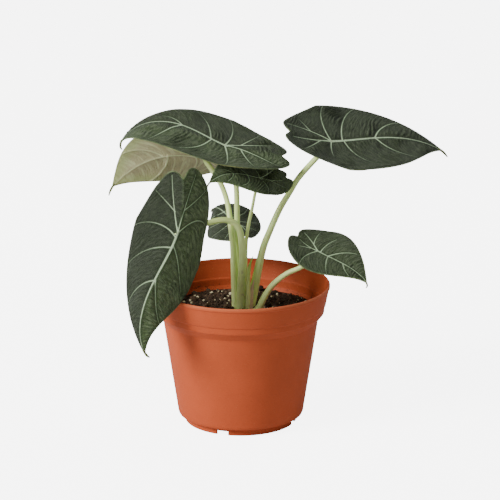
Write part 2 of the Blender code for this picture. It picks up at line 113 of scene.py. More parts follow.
# Places, sizes and angles are the rounded result of a least-squares fit of this leaf shape; the
# front left, middle and back leaves were then changed. They are the frame's own numbers,
# but for the breadth of the front left leaf and the breadth, pitch and bend of the back one.
# base is where the stalk stands, thick its width at foot and top, flare how far it swells at its
# foot and how far up, tone a painted light gain on the colour of the left and right half (above one
# it paints light onto a half in shade, below one it paints shade), youth how green the blade
# is, drip the way its tip hangs, and left and right are the side veins of each half.
LEAVES = {
    "upper_left": dict(
        junction=(-9.5, 2.0, 103.0), length=72.0, breadth=68.0, lobe=39.0, heading=173, pitch=12, roll=-23,
        bend=(-60, 275), sweep=(-15, -30), twist=(5, -10), lobe_droop=-5, fold=(-8, -4), curl=(-110, 25),
        base=(-0.8, 6.2), thick=(0.92, 0.83), flare=(0.55, 34.0), bow=-0.075, tone_and_painted_light=(2.0, 1.10),
        youth=0.0, drip=(1.6, 0.0, -3.2),
        route=((-1.4, 7.0, 16), (-2.2, 7.4, 42), (-2.2, 7.2, 57), (-2.6, 6.4, 76), (-4.6, 4.6, 90)),
        left=((0.0, 0.0, 118, -40, 0.34), (0.12, 0.0, 70, -40, 0.37), (0.40, 0.0, 38, 28, 0.36),
              (0.0, 0.0, 184, -50, 0.48), (-0.14, 0.02, 122, -10, 0.26)),
        right=((0.0, 0.0, 112, -60, 0.45), (0.13, 0.0, 75, -35, 0.43), (0.40, 0.0, 50, -40, 0.24),
               (0.0, 0.0, 160, 0, 0.42), (-0.13, 0.05, 124, 0, 0.34)),
    ),
    "left": dict(
        junction=(-19.5, 34.0, 86.0), length=70.5, breadth=61.0, lobe=37.0, heading=158, pitch=13, roll=37,
        bend=(70, -15), sweep=(10, 0), twist=(45, 0), lobe_droop=10, fold=(-1, 7), curl=(30, -5),
        base=(-2.8, 1.6), thick=(0.89, 0.78), flare=(0.60, 34.0), bow=0.01, tone_and_painted_light=(1.0, 1.0),
        youth=0.0, drip=(-1.8, 0.0, -5.4),
        route=((-4.0, 1.5, 28), (-5.0, 3.0, 44), (-6.5, 7.0, 56), (-8.2, 14.0, 65), (-12.4, 24.0, 74)),
        left=((0.0, 0.0, 118, -60, 0.45), (0.12, 0.0, 80, -50, 0.42), (0.42, 0.0, 65, -65, 0.36),
              (0.0, 0.0, 162, 14, 0.47), (-0.19, 0.05, 122, 0, 0.25)),
        right=((0.0, 0.0, 118, -60, 0.45), (0.12, 0.0, 88, -55, 0.40), (0.38, 0.0, 70, -75, 0.40),
               (0.0, 0.0, 162, 14, 0.47), (-0.19, 0.05, 122, 0, 0.25)),
    ),
    "front_left": dict(
        junction=(-36.5, -45.07, 62.0), length=77.5, breadth=63.5, lobe=37.0,
        heading=-147, pitch=-70, roll=-61, bend=(-80, 255), sweep=(-5, 0), twist=(30, -10), lobe_droop=-60,
        fold=(-45, -35), curl=(45, 15), base=(0.8, -2.8), thick=(1.0, 0.89), flare=(0.80, 30.0),
        bow=-0.02, tone_and_painted_light=(3.5, 0.70), youth=0.1, drip=(2.6, 0.0, -1.6),
        route=((0.8, -3.2, 17), (1.0, -3.6, 40), (-1.5, -4.0, 54), (-9.3, -4.2, 58.5), (-20.0, -5.5, 57),
               (-27.5, -13.0, 57), (-33.0, -27.0, 58.5)),
        left=((0.0, 0.0, 142, -88, 0.44), (0.10, 0.0, 58, -25, 0.43), (0.38, 0.0, 32, -15, 0.43),
              (0.0, 0.0, 184, -42, 0.50), (-0.20, 0.02, 118, -8, 0.32)),
        right=((0.04, 0.0, 125, -82, 0.49), (0.12, 0.0, 78, -48, 0.51), (0.40, 0.0, 70, -60, 0.37),
               (0.0, 0.0, 150, 34, 0.51), (-0.17, 0.07, 125, 0, 0.27)),
    ),
    "upper_right": dict(
        junction=(54.0, 0.0, 106.0), length=75.5, breadth=70.0, lobe=31.0, heading=22, pitch=-10, roll=32,
        bend=(-45, 135), sweep=(0, 20), twist=(-5, 35), lobe_droop=-40, fold=(-2, -10), curl=(15, -110),
        base=(5.2, -0.5), thick=(1.17, 0.86), bow=0.03, tone_and_painted_light=(1.0, 1.0),
        youth=0.0, drip=(3.0, 0.0, -3.9),
        route=((8.2, -0.5, 15), (13.0, -0.5, 38), (17.2, 1.0, 49.5), (23.4, 4.0, 63), (29.6, 7.0, 73),
               (35.0, 7.0, 82), (44.5, 3.8, 94)),
        left=((0.0, 0.0, 110, -60, 0.45), (0.10, 0.0, 80, -48, 0.50), (0.39, 0.0, 60, -52, 0.39),
              (0.0, 0.0, 150, 32, 0.50), (-0.21, 0.09, 122, 0, 0.18)),
        right=((0.0, 0.0, 115, -30, 0.17), (0.11, 0.0, 75, -35, 0.35), (0.39, 0.0, 58, -50, 0.37),
               (0.0, 0.0, 178, -8, 0.44), (-0.13, 0.01, 148, -10, 0.26)),
    ),
    "middle": dict(
        junction=(11.0, -9.0, 85.5), length=40.0, breadth=33.0, lobe=23.0, heading=218, pitch=18, roll=-22,
        bend=(-10, 105), sweep=(5, 5), twist=(-10, 10), lobe_droop=-40, fold=(0, 4), curl=(20, 0),
        base=(2.4, 3.6), thick=(0.67, 0.42), flare=(0.9, 26.0), bow=-0.02, tone_and_painted_light=(2.0, 2.0),
        youth=0.45, drip=(-0.8, 0.0, -2.7),
        route=((2.6, 3.0, 22), (3.2, 0.8, 42), (4.7, -1.2, 54.5), (6.8, -3.6, 65), (8.6, -6.4, 75.5)),
        left=((0.0, 0.0, 114, -64, 0.43), (0.23, 0.0, 85, -80, 0.41), (0.50, 0.0, 55, -45, 0.26),
              (0.0, 0.0, 172, 0, 0.38), (-0.16, 0.02, 132, -5, 0.26)),
        right=((0.0, 0.0, 118, -60, 0.43), (0.22, 0.0, 75, -55, 0.40), (0.50, 0.0, 55, -45, 0.26),
               (0.0, 0.0, 150, 0, 0.42), (-0.19, 0.10, 122, 0, 0.2)),
    ),
    "back": dict(
        junction=(-4.5, 31.0, 48.0), length=42.0, breadth=36.5, lobe=22.0, heading=109, pitch=4, roll=-7,
        bend=(-14, 95), sweep=(0, 0), twist=(-30, -5), lobe_droop=35, fold=(-16, -12), curl=(55, 25),
        base=(2.2, 9.2), thick=(0.61, 0.55), bow=0.01, tone_and_painted_light=(0.6, 0.6),
        youth=0.25, drip=(-1.0, 0.6, -2.0),
        route=((0.8, 12.5, 12), (-1.5, 18.0, 26), (-3.8, 26.0, 37.5)),
        left=SIDE_VEINS, right=SIDE_VEINS,
    ),
    "lower_right": dict(
        junction=(46.0, -20.0, 43.5), length=40.0, breadth=35.0, lobe=20.0, heading=-42, pitch=-10, roll=15,
        bend=(-20, 115), sweep=(5, 10), twist=(15, 20), lobe_droop=-45, fold=(35, 2), curl=(70, 15),
        base=(7.8, -5.4), thick=(0.78, 0.67), bow=-0.02, tone_and_painted_light=(1.3, 1.25),
        youth=0.05, drip=(-0.8, 0.0, -2.6),
        route=((11.0, -6.4, 4), (13.8, -8.0, 10.5), (17.9, -10.0, 18), (23.3, -13.0, 24.5), (28.8, -15.0, 29),
               (34.3, -17.0, 32), (40.3, -18.6, 36)),
        left=((-0.15, 0.07, 125, -28, 0.23), (0.05, 0.0, 90, -42, 0.32), (0.20, 0.0, 42, -26, 0.46),
              (0.0, 0.0, 152, 28, 0.46)),
        right=((0.0, 0.0, 120, -60, 0.43), (0.21, 0.0, 66, -25, 0.43), (0.50, 0.0, 50, -40, 0.28),
               (0.0, 0.0, 175, 5, 0.40), (-0.14, 0.02, 150, -10, 0.19)),
    ),
}

NEW_SHOOT = ((3.6, -7.0, -6, 0.62), (4.2, -7.2, 4, 0.74), (4.6, -7.4, 14, 0.78), (4.7, -7.5, 24, 0.66),
             (5.4, -7.5, 31, 0.46), (7.4, -7.6, 37, 0.10))
SHEATH = ((5.4, -5.6, -6, 0.60), (5.9, -6.2, 4, 0.70), (6.6, -6.2, 14, 0.60), (8.0, -5.9, 21.5, 0.10))


# --- shapes ---------------------------------------------------------------------------------


def smooth_through(points, count):
    """Catmull-Rom curve: each span is the cubic whose ends have the slope of their neighbours."""
    points = np.array(points, float)
    padded = np.concatenate([[2 * points[0] - points[1]], points, [2 * points[-1] - points[-2]]])
    where = np.linspace(0, len(points) - 1, count)
    span = np.minimum(where.astype(int), len(points) - 2)
    t = (where - span)[:, None]
    before, start, end, after = (padded[span + k] for k in range(4))
    return 0.5 * (
        2 * start + (end - before) * t + (2 * before - 5 * start + 4 * end - after) * t**2
        + (3 * start - 3 * end + after - before) * t**3
    )


def unit(vectors):
    return vectors / np.maximum(np.linalg.norm(vectors, axis=-1, keepdims=True), 1e-12)


def step_between(value, low, high):
    """Smooth step: 0 below low, 1 above high, and 3t^2 - 2t^3 between them."""
    t = np.clip((value - low) / (high - low), 0.0, 1.0)
    return t * t * (3.0 - 2.0 * t)


def ripples(x, y, wavelength, seed, waves=14):
    """Soft irregular relief: the mean of cosine waves in seeded random directions and phases."""
    chance = np.random.default_rng(seed)
    turn = chance.uniform(0, 2 * math.pi, waves)
    phase = chance.uniform(0, 2 * math.pi, waves)
    pace = 2 * math.pi / (wavelength * chance.uniform(0.7, 1.5, waves))
    along = x[..., None] * np.cos(turn) + y[..., None] * np.sin(turn)
    return np.cos(along * pace + phase).sum(-1) / math.sqrt(waves / 2)


def grid_quads(rows, columns, start=0):
    """Corner numbers of the cells of a grid whose points are numbered row by row."""
    corner = (np.arange(rows - 1)[:, None] * columns + np.arange(columns - 1)).reshape(-1) + start
    return np.stack([corner, corner + 1, corner + columns + 1, corner + columns], axis=1)


def solid_mesh(name, points, quads, fields=None, uv=None, tags=None):
    """Welds equal points, drops collapsed cells and turns a closed shell to face outwards.

    The enclosed volume is the sum of a . (b x c) / 6 over the triangles; where it is negative
    every triangle is reversed.
    """
    corners = np.concatenate([quads[:, [0, 1, 2]], quads[:, [0, 2, 3]]])
    tag = np.zeros(len(corners), np.int32) if tags is None else np.concatenate([tags, tags])
    _, first, index = np.unique(
        np.round(points * 1e7).astype(np.int64), axis=0, return_index=True, return_inverse=True
    )
    index = index.reshape(-1)
    faces = index[corners]
    whole = (
        (faces[:, 0] != faces[:, 1]) & (faces[:, 1] != faces[:, 2]) & (faces[:, 0] != faces[:, 2])
    )
    faces, corners, tag = faces[whole], corners[whole], tag[whole]
    place = points[first]
    a, b, c = (place[faces[:, k]] for k in range(3))
    if np.einsum("ij,ij->i", a, np.cross(b, c)).sum() < 0:
        faces, corners = faces[:, ::-1], corners[:, ::-1]
    mesh = bpy.data.meshes.new(name)
    mesh.vertices.add(len(place))
    mesh.vertices.foreach_set("co", place.astype(np.float32).reshape(-1))
    mesh.loops.add(faces.size)
    mesh.loops.foreach_set("vertex_index", faces.astype(np.int32).reshape(-1))
    mesh.polygons.add(len(faces))
    mesh.polygons.foreach_set("loop_start", np.arange(0, faces.size, 3, dtype=np.int32))
    mesh.polygons.foreach_set("material_index", tag)
    for field, values in (fields or {}).items():
        layer = mesh.attributes.new(field, "FLOAT", "POINT")
        layer.data.foreach_set("value", np.asarray(values, np.float32)[first])
    if uv is not None:
        layer = mesh.uv_layers.new(name="UVMap")
        layer.data.foreach_set("uv", uv[corners.reshape(-1)].astype(np.float32).reshape(-1))
    mesh.update(calc_edges=True)
    mesh.shade_smooth()
    return mesh


def place_piece(name, mesh, materials, slot, *replaced):
    obj = bpy.data.objects.new(name, mesh)
    bpy.context.scene.collection.objects.link(obj)
    for made in materials:
        mesh.materials.append(made)
    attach(obj, "root")
    if replaced:
        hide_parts(*replaced)
    return obj


def joined(parts):
    """Several (points, quads, fields, uv) shells numbered as one."""
    points, quads, uvs, count = [], [], [], 0
    fields = {name: [] for name in parts[0][2]}
    for shell, cells, values, uv in parts:
        points.append(shell)
        quads.append(cells + count)
        uvs.append(uv)
        count += len(shell)
        for name, column in values.items():
            fields[name].append(column)
    fields = {name: np.concatenate(columns) for name, columns in fields.items()}
    return np.concatenate(points), np.concatenate(quads), fields, np.concatenate(uvs)


def tube(path, radius, around=20, shape=None):
    """A closed tube: circles of the given radius, square to the path, capped by their centres.

    The circles' first axis is the path's mean plane turned square to the path, so they never
    twist. shape(turn, share) multiplies the radius round the circle and along the path.
    """
    path, radius = np.asarray(path, float), np.asarray(radius, float)
    ahead = unit(np.gradient(path, axis=0))
    plane = np.linalg.svd(path - path.mean(0))[2][2]
    side = unit(np.cross(plane, ahead))
    other = np.cross(ahead, side)
    turn = np.linspace(0, 2 * math.pi, around + 1)
    share = np.linspace(0, 1, len(path))
    spread = radius[:, None] * (1.0 if shape is None else shape(turn[None, :], share[:, None]))
    spread = np.broadcast_to(spread, (len(path), around + 1))
    ring = np.cos(turn)[None, :, None] * side[:, None] + np.sin(turn)[None, :, None] * other[:, None]
    ring = path[:, None] + spread[..., None] * ring
    ring[:, -1] = ring[:, 0]
    ends = np.repeat(path[[0, -1]][:, None], around + 1, axis=1)
    points = np.concatenate([ends[:1], ring, ends[1:]])
    length = np.concatenate([[0], np.cumsum(np.linalg.norm(np.diff(path, axis=0), axis=1))])
    rise = np.concatenate([[length[0]], length, [length[-1]]])
    uv = np.stack(np.broadcast_arrays(turn[None, :] / (2 * math.pi), rise[:, None] / 0.1), axis=-1)
    return points.reshape(-1, 3), grid_quads(len(points), around + 1), rise, uv.reshape(-1, 2)


def midrib_frames(leaf, along):
    """Place, side, normal and direction on the midrib, at distances along it in leaf lengths.

    Heading, pitch and roll change evenly with distance, and the place is the running sum of the
    direction, first to the tip and then, from the junction again, back over the lobes.
    """
    grid = np.linspace(-0.7, 1.0, 341)
    front, back = np.maximum(grid, 0.0), np.minimum(grid, 0.0)
    bend, growth = leaf["bend"]
    heading = np.radians(leaf["heading"] + leaf["sweep"][0] * front + leaf["sweep"][1] * back)
    pitch = np.radians(
        leaf["pitch"] - bend * front - 0.5 * growth * front**2 - leaf["lobe_droop"] * back
    )
    roll = np.radians(leaf["roll"] + leaf["twist"][0] * front + leaf["twist"][1] * back)[:, None]
    ahead = np.stack(
        [np.cos(pitch) * np.cos(heading), np.cos(pitch) * np.sin(heading), np.sin(pitch)], axis=1
    )
    level = np.stack([-np.sin(heading), np.cos(heading), 0.0 * heading], axis=1)
    side = np.cos(roll) * level + np.sin(roll) * np.cross(ahead, level)
    step = 0.5 * (ahead[1:] + ahead[:-1]) * (grid[1] - grid[0]) * leaf["length"]
    place = np.concatenate([np.zeros((1, 3)), np.cumsum(step, axis=0)])
    place -= place[np.argmin(np.abs(grid))]
    table = np.concatenate([place, side, np.cross(ahead, side), ahead], axis=1)
    found = np.stack([np.interp(along, grid, column) for column in table.T], axis=-1)
    return found[..., :3], found[..., 3:6], found[..., 6:9], found[..., 9:]


def blade_surface(leaf, along, across):
    """Middle surface and its normal, in millimetres, for flat places in leaf lengths.

    Each half leaves the midrib at its fold angle and bends by its curl, as an arc of a circle:
    out is the difference of sines and rise the difference of cosines over the curl.
    """
    place, side, normal, _ = midrib_frames(leaf, along)
    left = across >= 0.0
    fold = np.radians(np.where(left, leaf["fold"][0], leaf["fold"][1]))
    curl = np.radians(np.where(left, leaf["curl"][0], leaf["curl"][1])) + 1e-6
    lean = fold - curl * np.abs(across)
    out = np.sign(across) * (np.sin(fold) - np.sin(lean)) / curl
    rise = (np.cos(lean) - np.cos(fold)) / curl
    # The crease over the midrib is eased, so that the two halves meet in a rounded valley.
    ease = np.clip(np.abs(across) / 0.03, 0.0, 1.0)
    facing = unit(
        np.cos(lean)[..., None] * normal - (ease * np.sign(across) * np.sin(lean))[..., None] * side
    )
    junction = np.array(leaf["junction"]) + (0.0, 0.0, MIX_LEVEL)
    point = junction + leaf["length"] * (out[..., None] * side + rise[..., None] * normal) + place
    return point, facing


def bowed(leaf, along, across):
    """Shifts places near the midrib sideways by a half sine wave that fades out to the margin."""
    wave = np.sin(math.pi * np.clip(along / 0.9, 0.0, 1.0))
    return across + leaf["bow"] * wave * np.clip(1.0 - np.abs(across) / 0.4, 0.0, 1.0)


def vein_path(leaf, sign, vein, count=22):
    """Arc in the flat leaf: its direction turns evenly, and its place is the running sum of it."""
    along, across, angle, turn, reach = vein
    heading = np.radians(angle + turn * np.linspace(0, 1, count))
    middle = 0.5 * (heading[1:] + heading[:-1])
    step = reach / (count - 1)
    x = along + np.concatenate([[0], np.cumsum(np.cos(middle))]) * step
    y = across + np.concatenate([[0], np.cumsum(np.sin(middle))]) * step
    return np.stack([x, bowed(leaf, x, sign * y)], axis=1)


def to_line(places, line, widths):
    """Width left over at each place: the line's half width there less the distance to the line.

    The nearest point on each segment is the projection, held between its ends.
    """
    best = np.full(places.shape[:-1], -1e9)
    for start, end, low, high in zip(line[:-1], line[1:], widths[:-1], widths[1:]):
        run = end - start
        t = np.clip(((places - start) @ run) / max(run @ run, 1e-12), 0.0, 1.0)
        gap = np.linalg.norm(places - start - t[..., None] * run, axis=-1)
        best = np.maximum(best, low + (high - low) * t - gap)
    return best


def blade_shell(leaf, rows, half, seed, relief):
    """Both faces of one blade on a grid from notch to tip and from margin to margin.

    The faces stand off the middle surface by half the thickness, which runs out at the margin.
    The upper face swells between veins and carries fine cross ribs, and the lower face rises
    along the veins.
    """
    length = leaf["length"]
    share = np.sin(np.linspace(-1.0, 1.0, 2 * half + 1) * math.pi / 2 * 0.9) / math.sin(0.45 * math.pi)
    margin = smooth_through(OUTLINE, rows)
    lobe = leaf["lobe"] / (OUTLINE_LOBE * length)
    breadth = leaf["breadth"] / (OUTLINE_BREADTH * length)
    run = np.linspace(0.0, 1.0, rows)
    spine = OUTLINE[0][0] + (1.0 - OUTLINE[0][0]) * run**1.2
    along = spine[:, None] + (margin[:, :1] - spine[:, None]) * np.abs(share)
    across = margin[:, 1:] * share

    def flat(places):
        """Template places in this leaf's own millimetres."""
        scaled = np.where(places[..., 0] < 0.0, places[..., 0] * lobe, places[..., 0])
        return np.stack([scaled, places[..., 1] * breadth], axis=-1) * length

    places = flat(np.stack([along, across], axis=-1))
    big = length / LARGE_LEAF
    spine_line = np.stack([np.linspace(-0.02, 1.0, 40)] * 2, axis=1)
    spine_line[:, 1] = bowed(leaf, spine_line[:, 0], 0.0 * spine_line[:, 0])
    midrib = to_line(places, flat(spine_line), np.linspace(*MIDRIB_WIDTH, 40) * big)
    veins = np.full(midrib.shape, -1e9)
    for sign, name in ((1.0, "left"), (-1.0, "right")):
        for number, vein in enumerate(leaf[name]):
            strength = (0.8 if number == LAST_VEIN else 1.0) * (0.55 + 0.45 * big)
            line = flat(vein_path(leaf, sign, vein))
            widths = np.linspace(*VEIN_WIDTH, len(line)) * strength
            veins = np.maximum(veins, to_line(places, line, widths))
    edge = flat(np.concatenate([margin, margin[::-1] * (1.0, -1.0)]))
    to_edge = -to_line(places, edge, np.zeros(len(edge)))
    nearest = np.maximum(midrib, veins)
    away = np.maximum(-nearest, 0.0)

    # Cross ribs run out from the midrib and sweep forward like the side veins.
    sway = ripples(places[..., 0], places[..., 1], 16.0, seed)
    swept = along - RIB_SWEEP * np.abs(across) ** RIB_SWEEP
    label = swept + 0.016 * sway
    ribs = 0.5 + 0.5 * np.sin(2 * math.pi * RIBS * math.sqrt(big) * label + 1.3 * np.sign(across))
    # patch varies the height of the ribs, and in the material it also sets where the painted sheen lies.
    patch = 0.5 + 0.5 * ripples(places[..., 0], places[..., 1], 21.0, seed + 1)
    inner = step_between(away, 0.3, 2.2 * big) * step_between(to_edge, 0.2, 3.5 * big)
    swell = 1.0 - np.exp(-((away / (4.5 * big)) ** 2))
    wave = ripples(places[..., 0], 0.4 * places[..., 1], 24.0, seed + 2)
    wave = wave * step_between(np.abs(across), 0.15, 0.42)

    end = np.clip(np.minimum(run, 1.0 - run) * 18.0, 0.0, 1.0)[:, None] ** 0.5
    slim = end * np.sqrt(np.clip(1.0 - np.abs(share) ** 10, 0.0, 1.0))
    half_thick = 0.5 * BLADE_THICKNESS * slim
    fade = end * step_between(to_edge, 0.0, 1.5)
    top_lift = relief * fade * (
        0.55 * big * (swell - 0.5) + inner * (0.75 * ribs * patch)
    )
    taper = np.linspace(1.0, 0.35, rows)[:, None]
    low_lift = -fade * (
        relief * 0.30 * big * (swell - 0.5)
        - 0.60 * big * np.exp(-np.minimum(midrib - 0.2, 0.0) ** 2 / 0.5) * taper
        - 0.35 * np.exp(-np.minimum(veins, 0.0) ** 2 / 0.22)
    )
    scaled_along = np.where(along < 0.0, along * lobe, along)
    point, facing = blade_surface(leaf, scaled_along, across * breadth)
    point = point + (0.35 * big * wave * fade)[..., None] * facing
    top = point + (half_thick + top_lift)[..., None] * facing
    low = point - (half_thick + low_lift)[..., None] * facing

    quads = grid_quads(rows, 2 * half + 1)
    hub = np.exp(-((places[..., 0] / (1.3 * big)) ** 2 + (places[..., 1] / (0.9 * big)) ** 2))
    # Painted light: each half's colour gain, lightening a half that the lamps leave in shade and darkening
    # one that gets too much light.
    light = leaf["tone_and_painted_light"]
    tone_and_painted_light = light[1] + (light[0] - light[1]) * step_between(across, -0.03, 0.03)
    uv = np.stack([swept * length, places[..., 1]], axis=-1) / 100.0
    shells = []
    for under, surface, cells in ((0.0, top, quads), (1.0, low, quads[:, ::-1])):
        values = dict(
            midrib=midrib, veins=veins, edge=to_edge, ribs=ribs, inner=inner, patch=patch, hub=hub,
            under=np.full(hub.shape, under), tail=np.zeros(hub.shape),
            youth=np.full(hub.shape, leaf["youth"]), tip=scaled_along,
            tone_and_painted_light=tone_and_painted_light,
        )
        values = {name: column.reshape(-1) for name, column in values.items()}
        shifted = (uv + (1.6 * under, 0.0)).reshape(-1, 2)
        shells.append((surface.reshape(-1, 3) * MM, cells, values, shifted))
    shells.append(drip_shell(leaf, shells[0][2].keys()))
    return shells


def drip_shell(leaf, fields):
    """The drip tip: a tapering tube on a quadratic curve that leaves the midrib and hangs."""
    place, _, _, ahead = midrib_frames(leaf, np.array([0.955, 1.0]))
    junction = np.array(leaf["junction"]) + (0.0, 0.0, MIX_LEVEL)
    start, tip = junction + place
    end = tip + np.array(leaf["drip"])
    over = tip + 1.6 * ahead[1]
    t = np.linspace(0, 1, 18)[:, None]
    path = (1 - t) ** 2 * start + 2 * t * (1 - t) * over + t**2 * end
    size = leaf["length"] / LARGE_LEAF
    radius = np.interp(t[:, 0], [0, 0.6, 1], [0.74, 0.70, 0.34]) * size**0.5
    points, quads, _, uv = tube(path * MM, radius * MM, 10)
    values = {name: np.full(len(points), 0.0) for name in fields}
    values["tail"] += 1.0
    values["edge"] += 9.0
    values["midrib"] -= 9.0
    values["veins"] -= 9.0
    return points, quads, values, uv


# --- node groups and materials ----------------------------------------------------------------


def add_node(tree, kind, inputs=None, **settings):
    """Adds a node; inputs maps socket names or numbers to values or to sockets that feed them."""
    node = tree.nodes.new(kind)
    for name, value in settings.items():
        setattr(node, name, value)
    for name, value in (inputs or {}).items():
        if isinstance(value, bpy.types.NodeSocket):
            tree.links.new(value, node.inputs[name])
        else:
            node.inputs[name].default_value = value
    return node


def calc(tree, operation, first, second=0.0, clamp=False):
    node = add_node(tree, "ShaderNodeMath", {0: first, 1: second}, operation=operation, use_clamp=clamp)
    return node.outputs[0]


def product(tree, first, second):
    return calc(tree, "MULTIPLY", first, second)


def one_less(tree, value):
    return calc(tree, "SUBTRACT", 1.0, value)


def blend_colour(tree, factor, first, second, kind="MIX"):
    node = add_node(
        tree, "ShaderNodeMix", {0: factor, 6: first, 7: second}, data_type="RGBA", blend_type=kind
    )
    return node.outputs[2]


def smooth_step(tree, value, low, high):
    node = add_node(
        tree, "ShaderNodeMapRange", {"Value": value, "From Min": low, "From Max": high},
        interpolation_type="SMOOTHSTEP",
    )
    return node.outputs[0]


def field(tree, name):
    return add_node(tree, "ShaderNodeAttribute", attribute_name=name).outputs["Fac"]


def noise(tree, vector, scale, detail=3.0, rough=0.55, distortion=0.0):
    return add_node(
        tree, "ShaderNodeTexNoise",
        {"Vector": vector, "Scale": scale, "Detail": detail, "Roughness": rough, "Distortion": distortion},
    ).outputs[0]


def stretched(tree, vector, scale):
    return add_node(tree, "ShaderNodeMapping", {"Vector": vector, "Scale": scale}).outputs[0]


def coordinates(tree, output="Object"):
    return add_node(tree, "ShaderNodeTexCoord").outputs[output]


def new_group(name, inputs, outputs):
    """A shader node group; inputs map a name to its default, and outputs a name to its kind."""
    tree = bpy.data.node_groups.new(name, "ShaderNodeTree")
    kinds = {3: "NodeSocketVector", 4: "NodeSocketColor"}
    for label, default in inputs.items():
        many = len(default) if isinstance(default, tuple) else 0
        kind = kinds.get(many, "NodeSocketFloat")
        socket = tree.interface.new_socket(label, in_out="INPUT", socket_type=kind)
        socket.default_value = default
    for label, kind in outputs.items():
        tree.interface.new_socket(label, in_out="OUTPUT", socket_type=kind)
    start, end = tree.nodes.new("NodeGroupInput"), tree.nodes.new("NodeGroupOutput")
    return tree, start.outputs, end.inputs


def use_group(tree, group, inputs):
    return add_node(tree, "ShaderNodeGroup", inputs, node_tree=group).outputs


def mottle_group():
    """Colour that drifts between two tones with small darker specks."""
    tree, given, out = new_group(
        "mottle",
        {"Vector": (0.0, 0.0, 0.0), "Tone A": (0.5, 0.5, 0.5, 1.0), "Tone B": (0.4, 0.4, 0.4, 1.0),
         "Drift Scale": 30.0, "Speck Scale": 900.0, "Speck Strength": 0.3},
        {"Color": "NodeSocketColor", "Specks": "NodeSocketFloat"},
    )
    drift = smooth_step(tree, noise(tree, given["Vector"], given["Drift Scale"], 4.0), 0.32, 0.68)
    specks = smooth_step(tree, noise(tree, given["Vector"], given["Speck Scale"], 2.0), 0.54, 0.72)
    colour = blend_colour(tree, drift, given["Tone A"], given["Tone B"])
    shade = one_less(tree, product(tree, specks, given["Speck Strength"]))
    grey = add_node(tree, "ShaderNodeCombineColor", {0: shade, 1: shade, 2: shade}).outputs[0]
    tree.links.new(blend_colour(tree, 1.0, colour, grey, "MULTIPLY"), out["Color"])
    tree.links.new(specks, out["Specks"])
    return tree


def pores_group():
    """Fine relief: a coarse grain and half as much of a grain four times finer."""
    tree, given, out = new_group(
        "pores", {"Vector": (0.0, 0.0, 0.0), "Scale": 1000.0}, {"Height": "NodeSocketFloat"}
    )
    fine = noise(tree, given["Vector"], product(tree, given["Scale"], 4.0), 2.0)
    coarse = noise(tree, given["Vector"], given["Scale"], 3.0)
    height = calc(tree, "ADD", coarse, product(tree, fine, 0.5))
    tree.links.new(height, out["Height"])
    return tree


def pores(tree, vector, scale):
    return use_group(tree, bpy.data.node_groups["pores"], {"Vector": vector, "Scale": scale})[0]


def new_material(name, colour, roughness, height=None, strength=0.3, depth=0.0003, **constants):
    """A Principled material; colour and roughness may be sockets, built in its own tree."""
    made = bpy.data.materials.new(name)
    made.use_nodes = True
    tree = made.node_tree
    shader = tree.nodes["Principled BSDF"]
    built = dict(colour=colour, roughness=roughness, height=height)
    built = {key: value(tree) if callable(value) else value for key, value in built.items()}
    for key, socket in (("colour", "Base Color"), ("roughness", "Roughness")):
        if isinstance(built[key], bpy.types.NodeSocket):
            tree.links.new(built[key], shader.inputs[socket])
        else:
            shader.inputs[socket].default_value = built[key]
    if built["height"] is not None:
        bump = add_node(
            tree, "ShaderNodeBump",
            {"Height": built["height"], "Strength": strength, "Distance": depth},
        )
        tree.links.new(bump.outputs[0], shader.inputs["Normal"])
    for key, value in constants.items():
        shader.inputs[key.replace("_", " ")].default_value = value
    return made


def rgba(colour, gain=1.0):
    return tuple(channel * gain for channel in colour[:3]) + (1.0,)


def shades(tree, factor, colour, dark, light):
    """Blends between a darker and a lighter shade of one colour."""
    return blend_colour(tree, factor, rgba(colour, dark), rgba(colour, light))


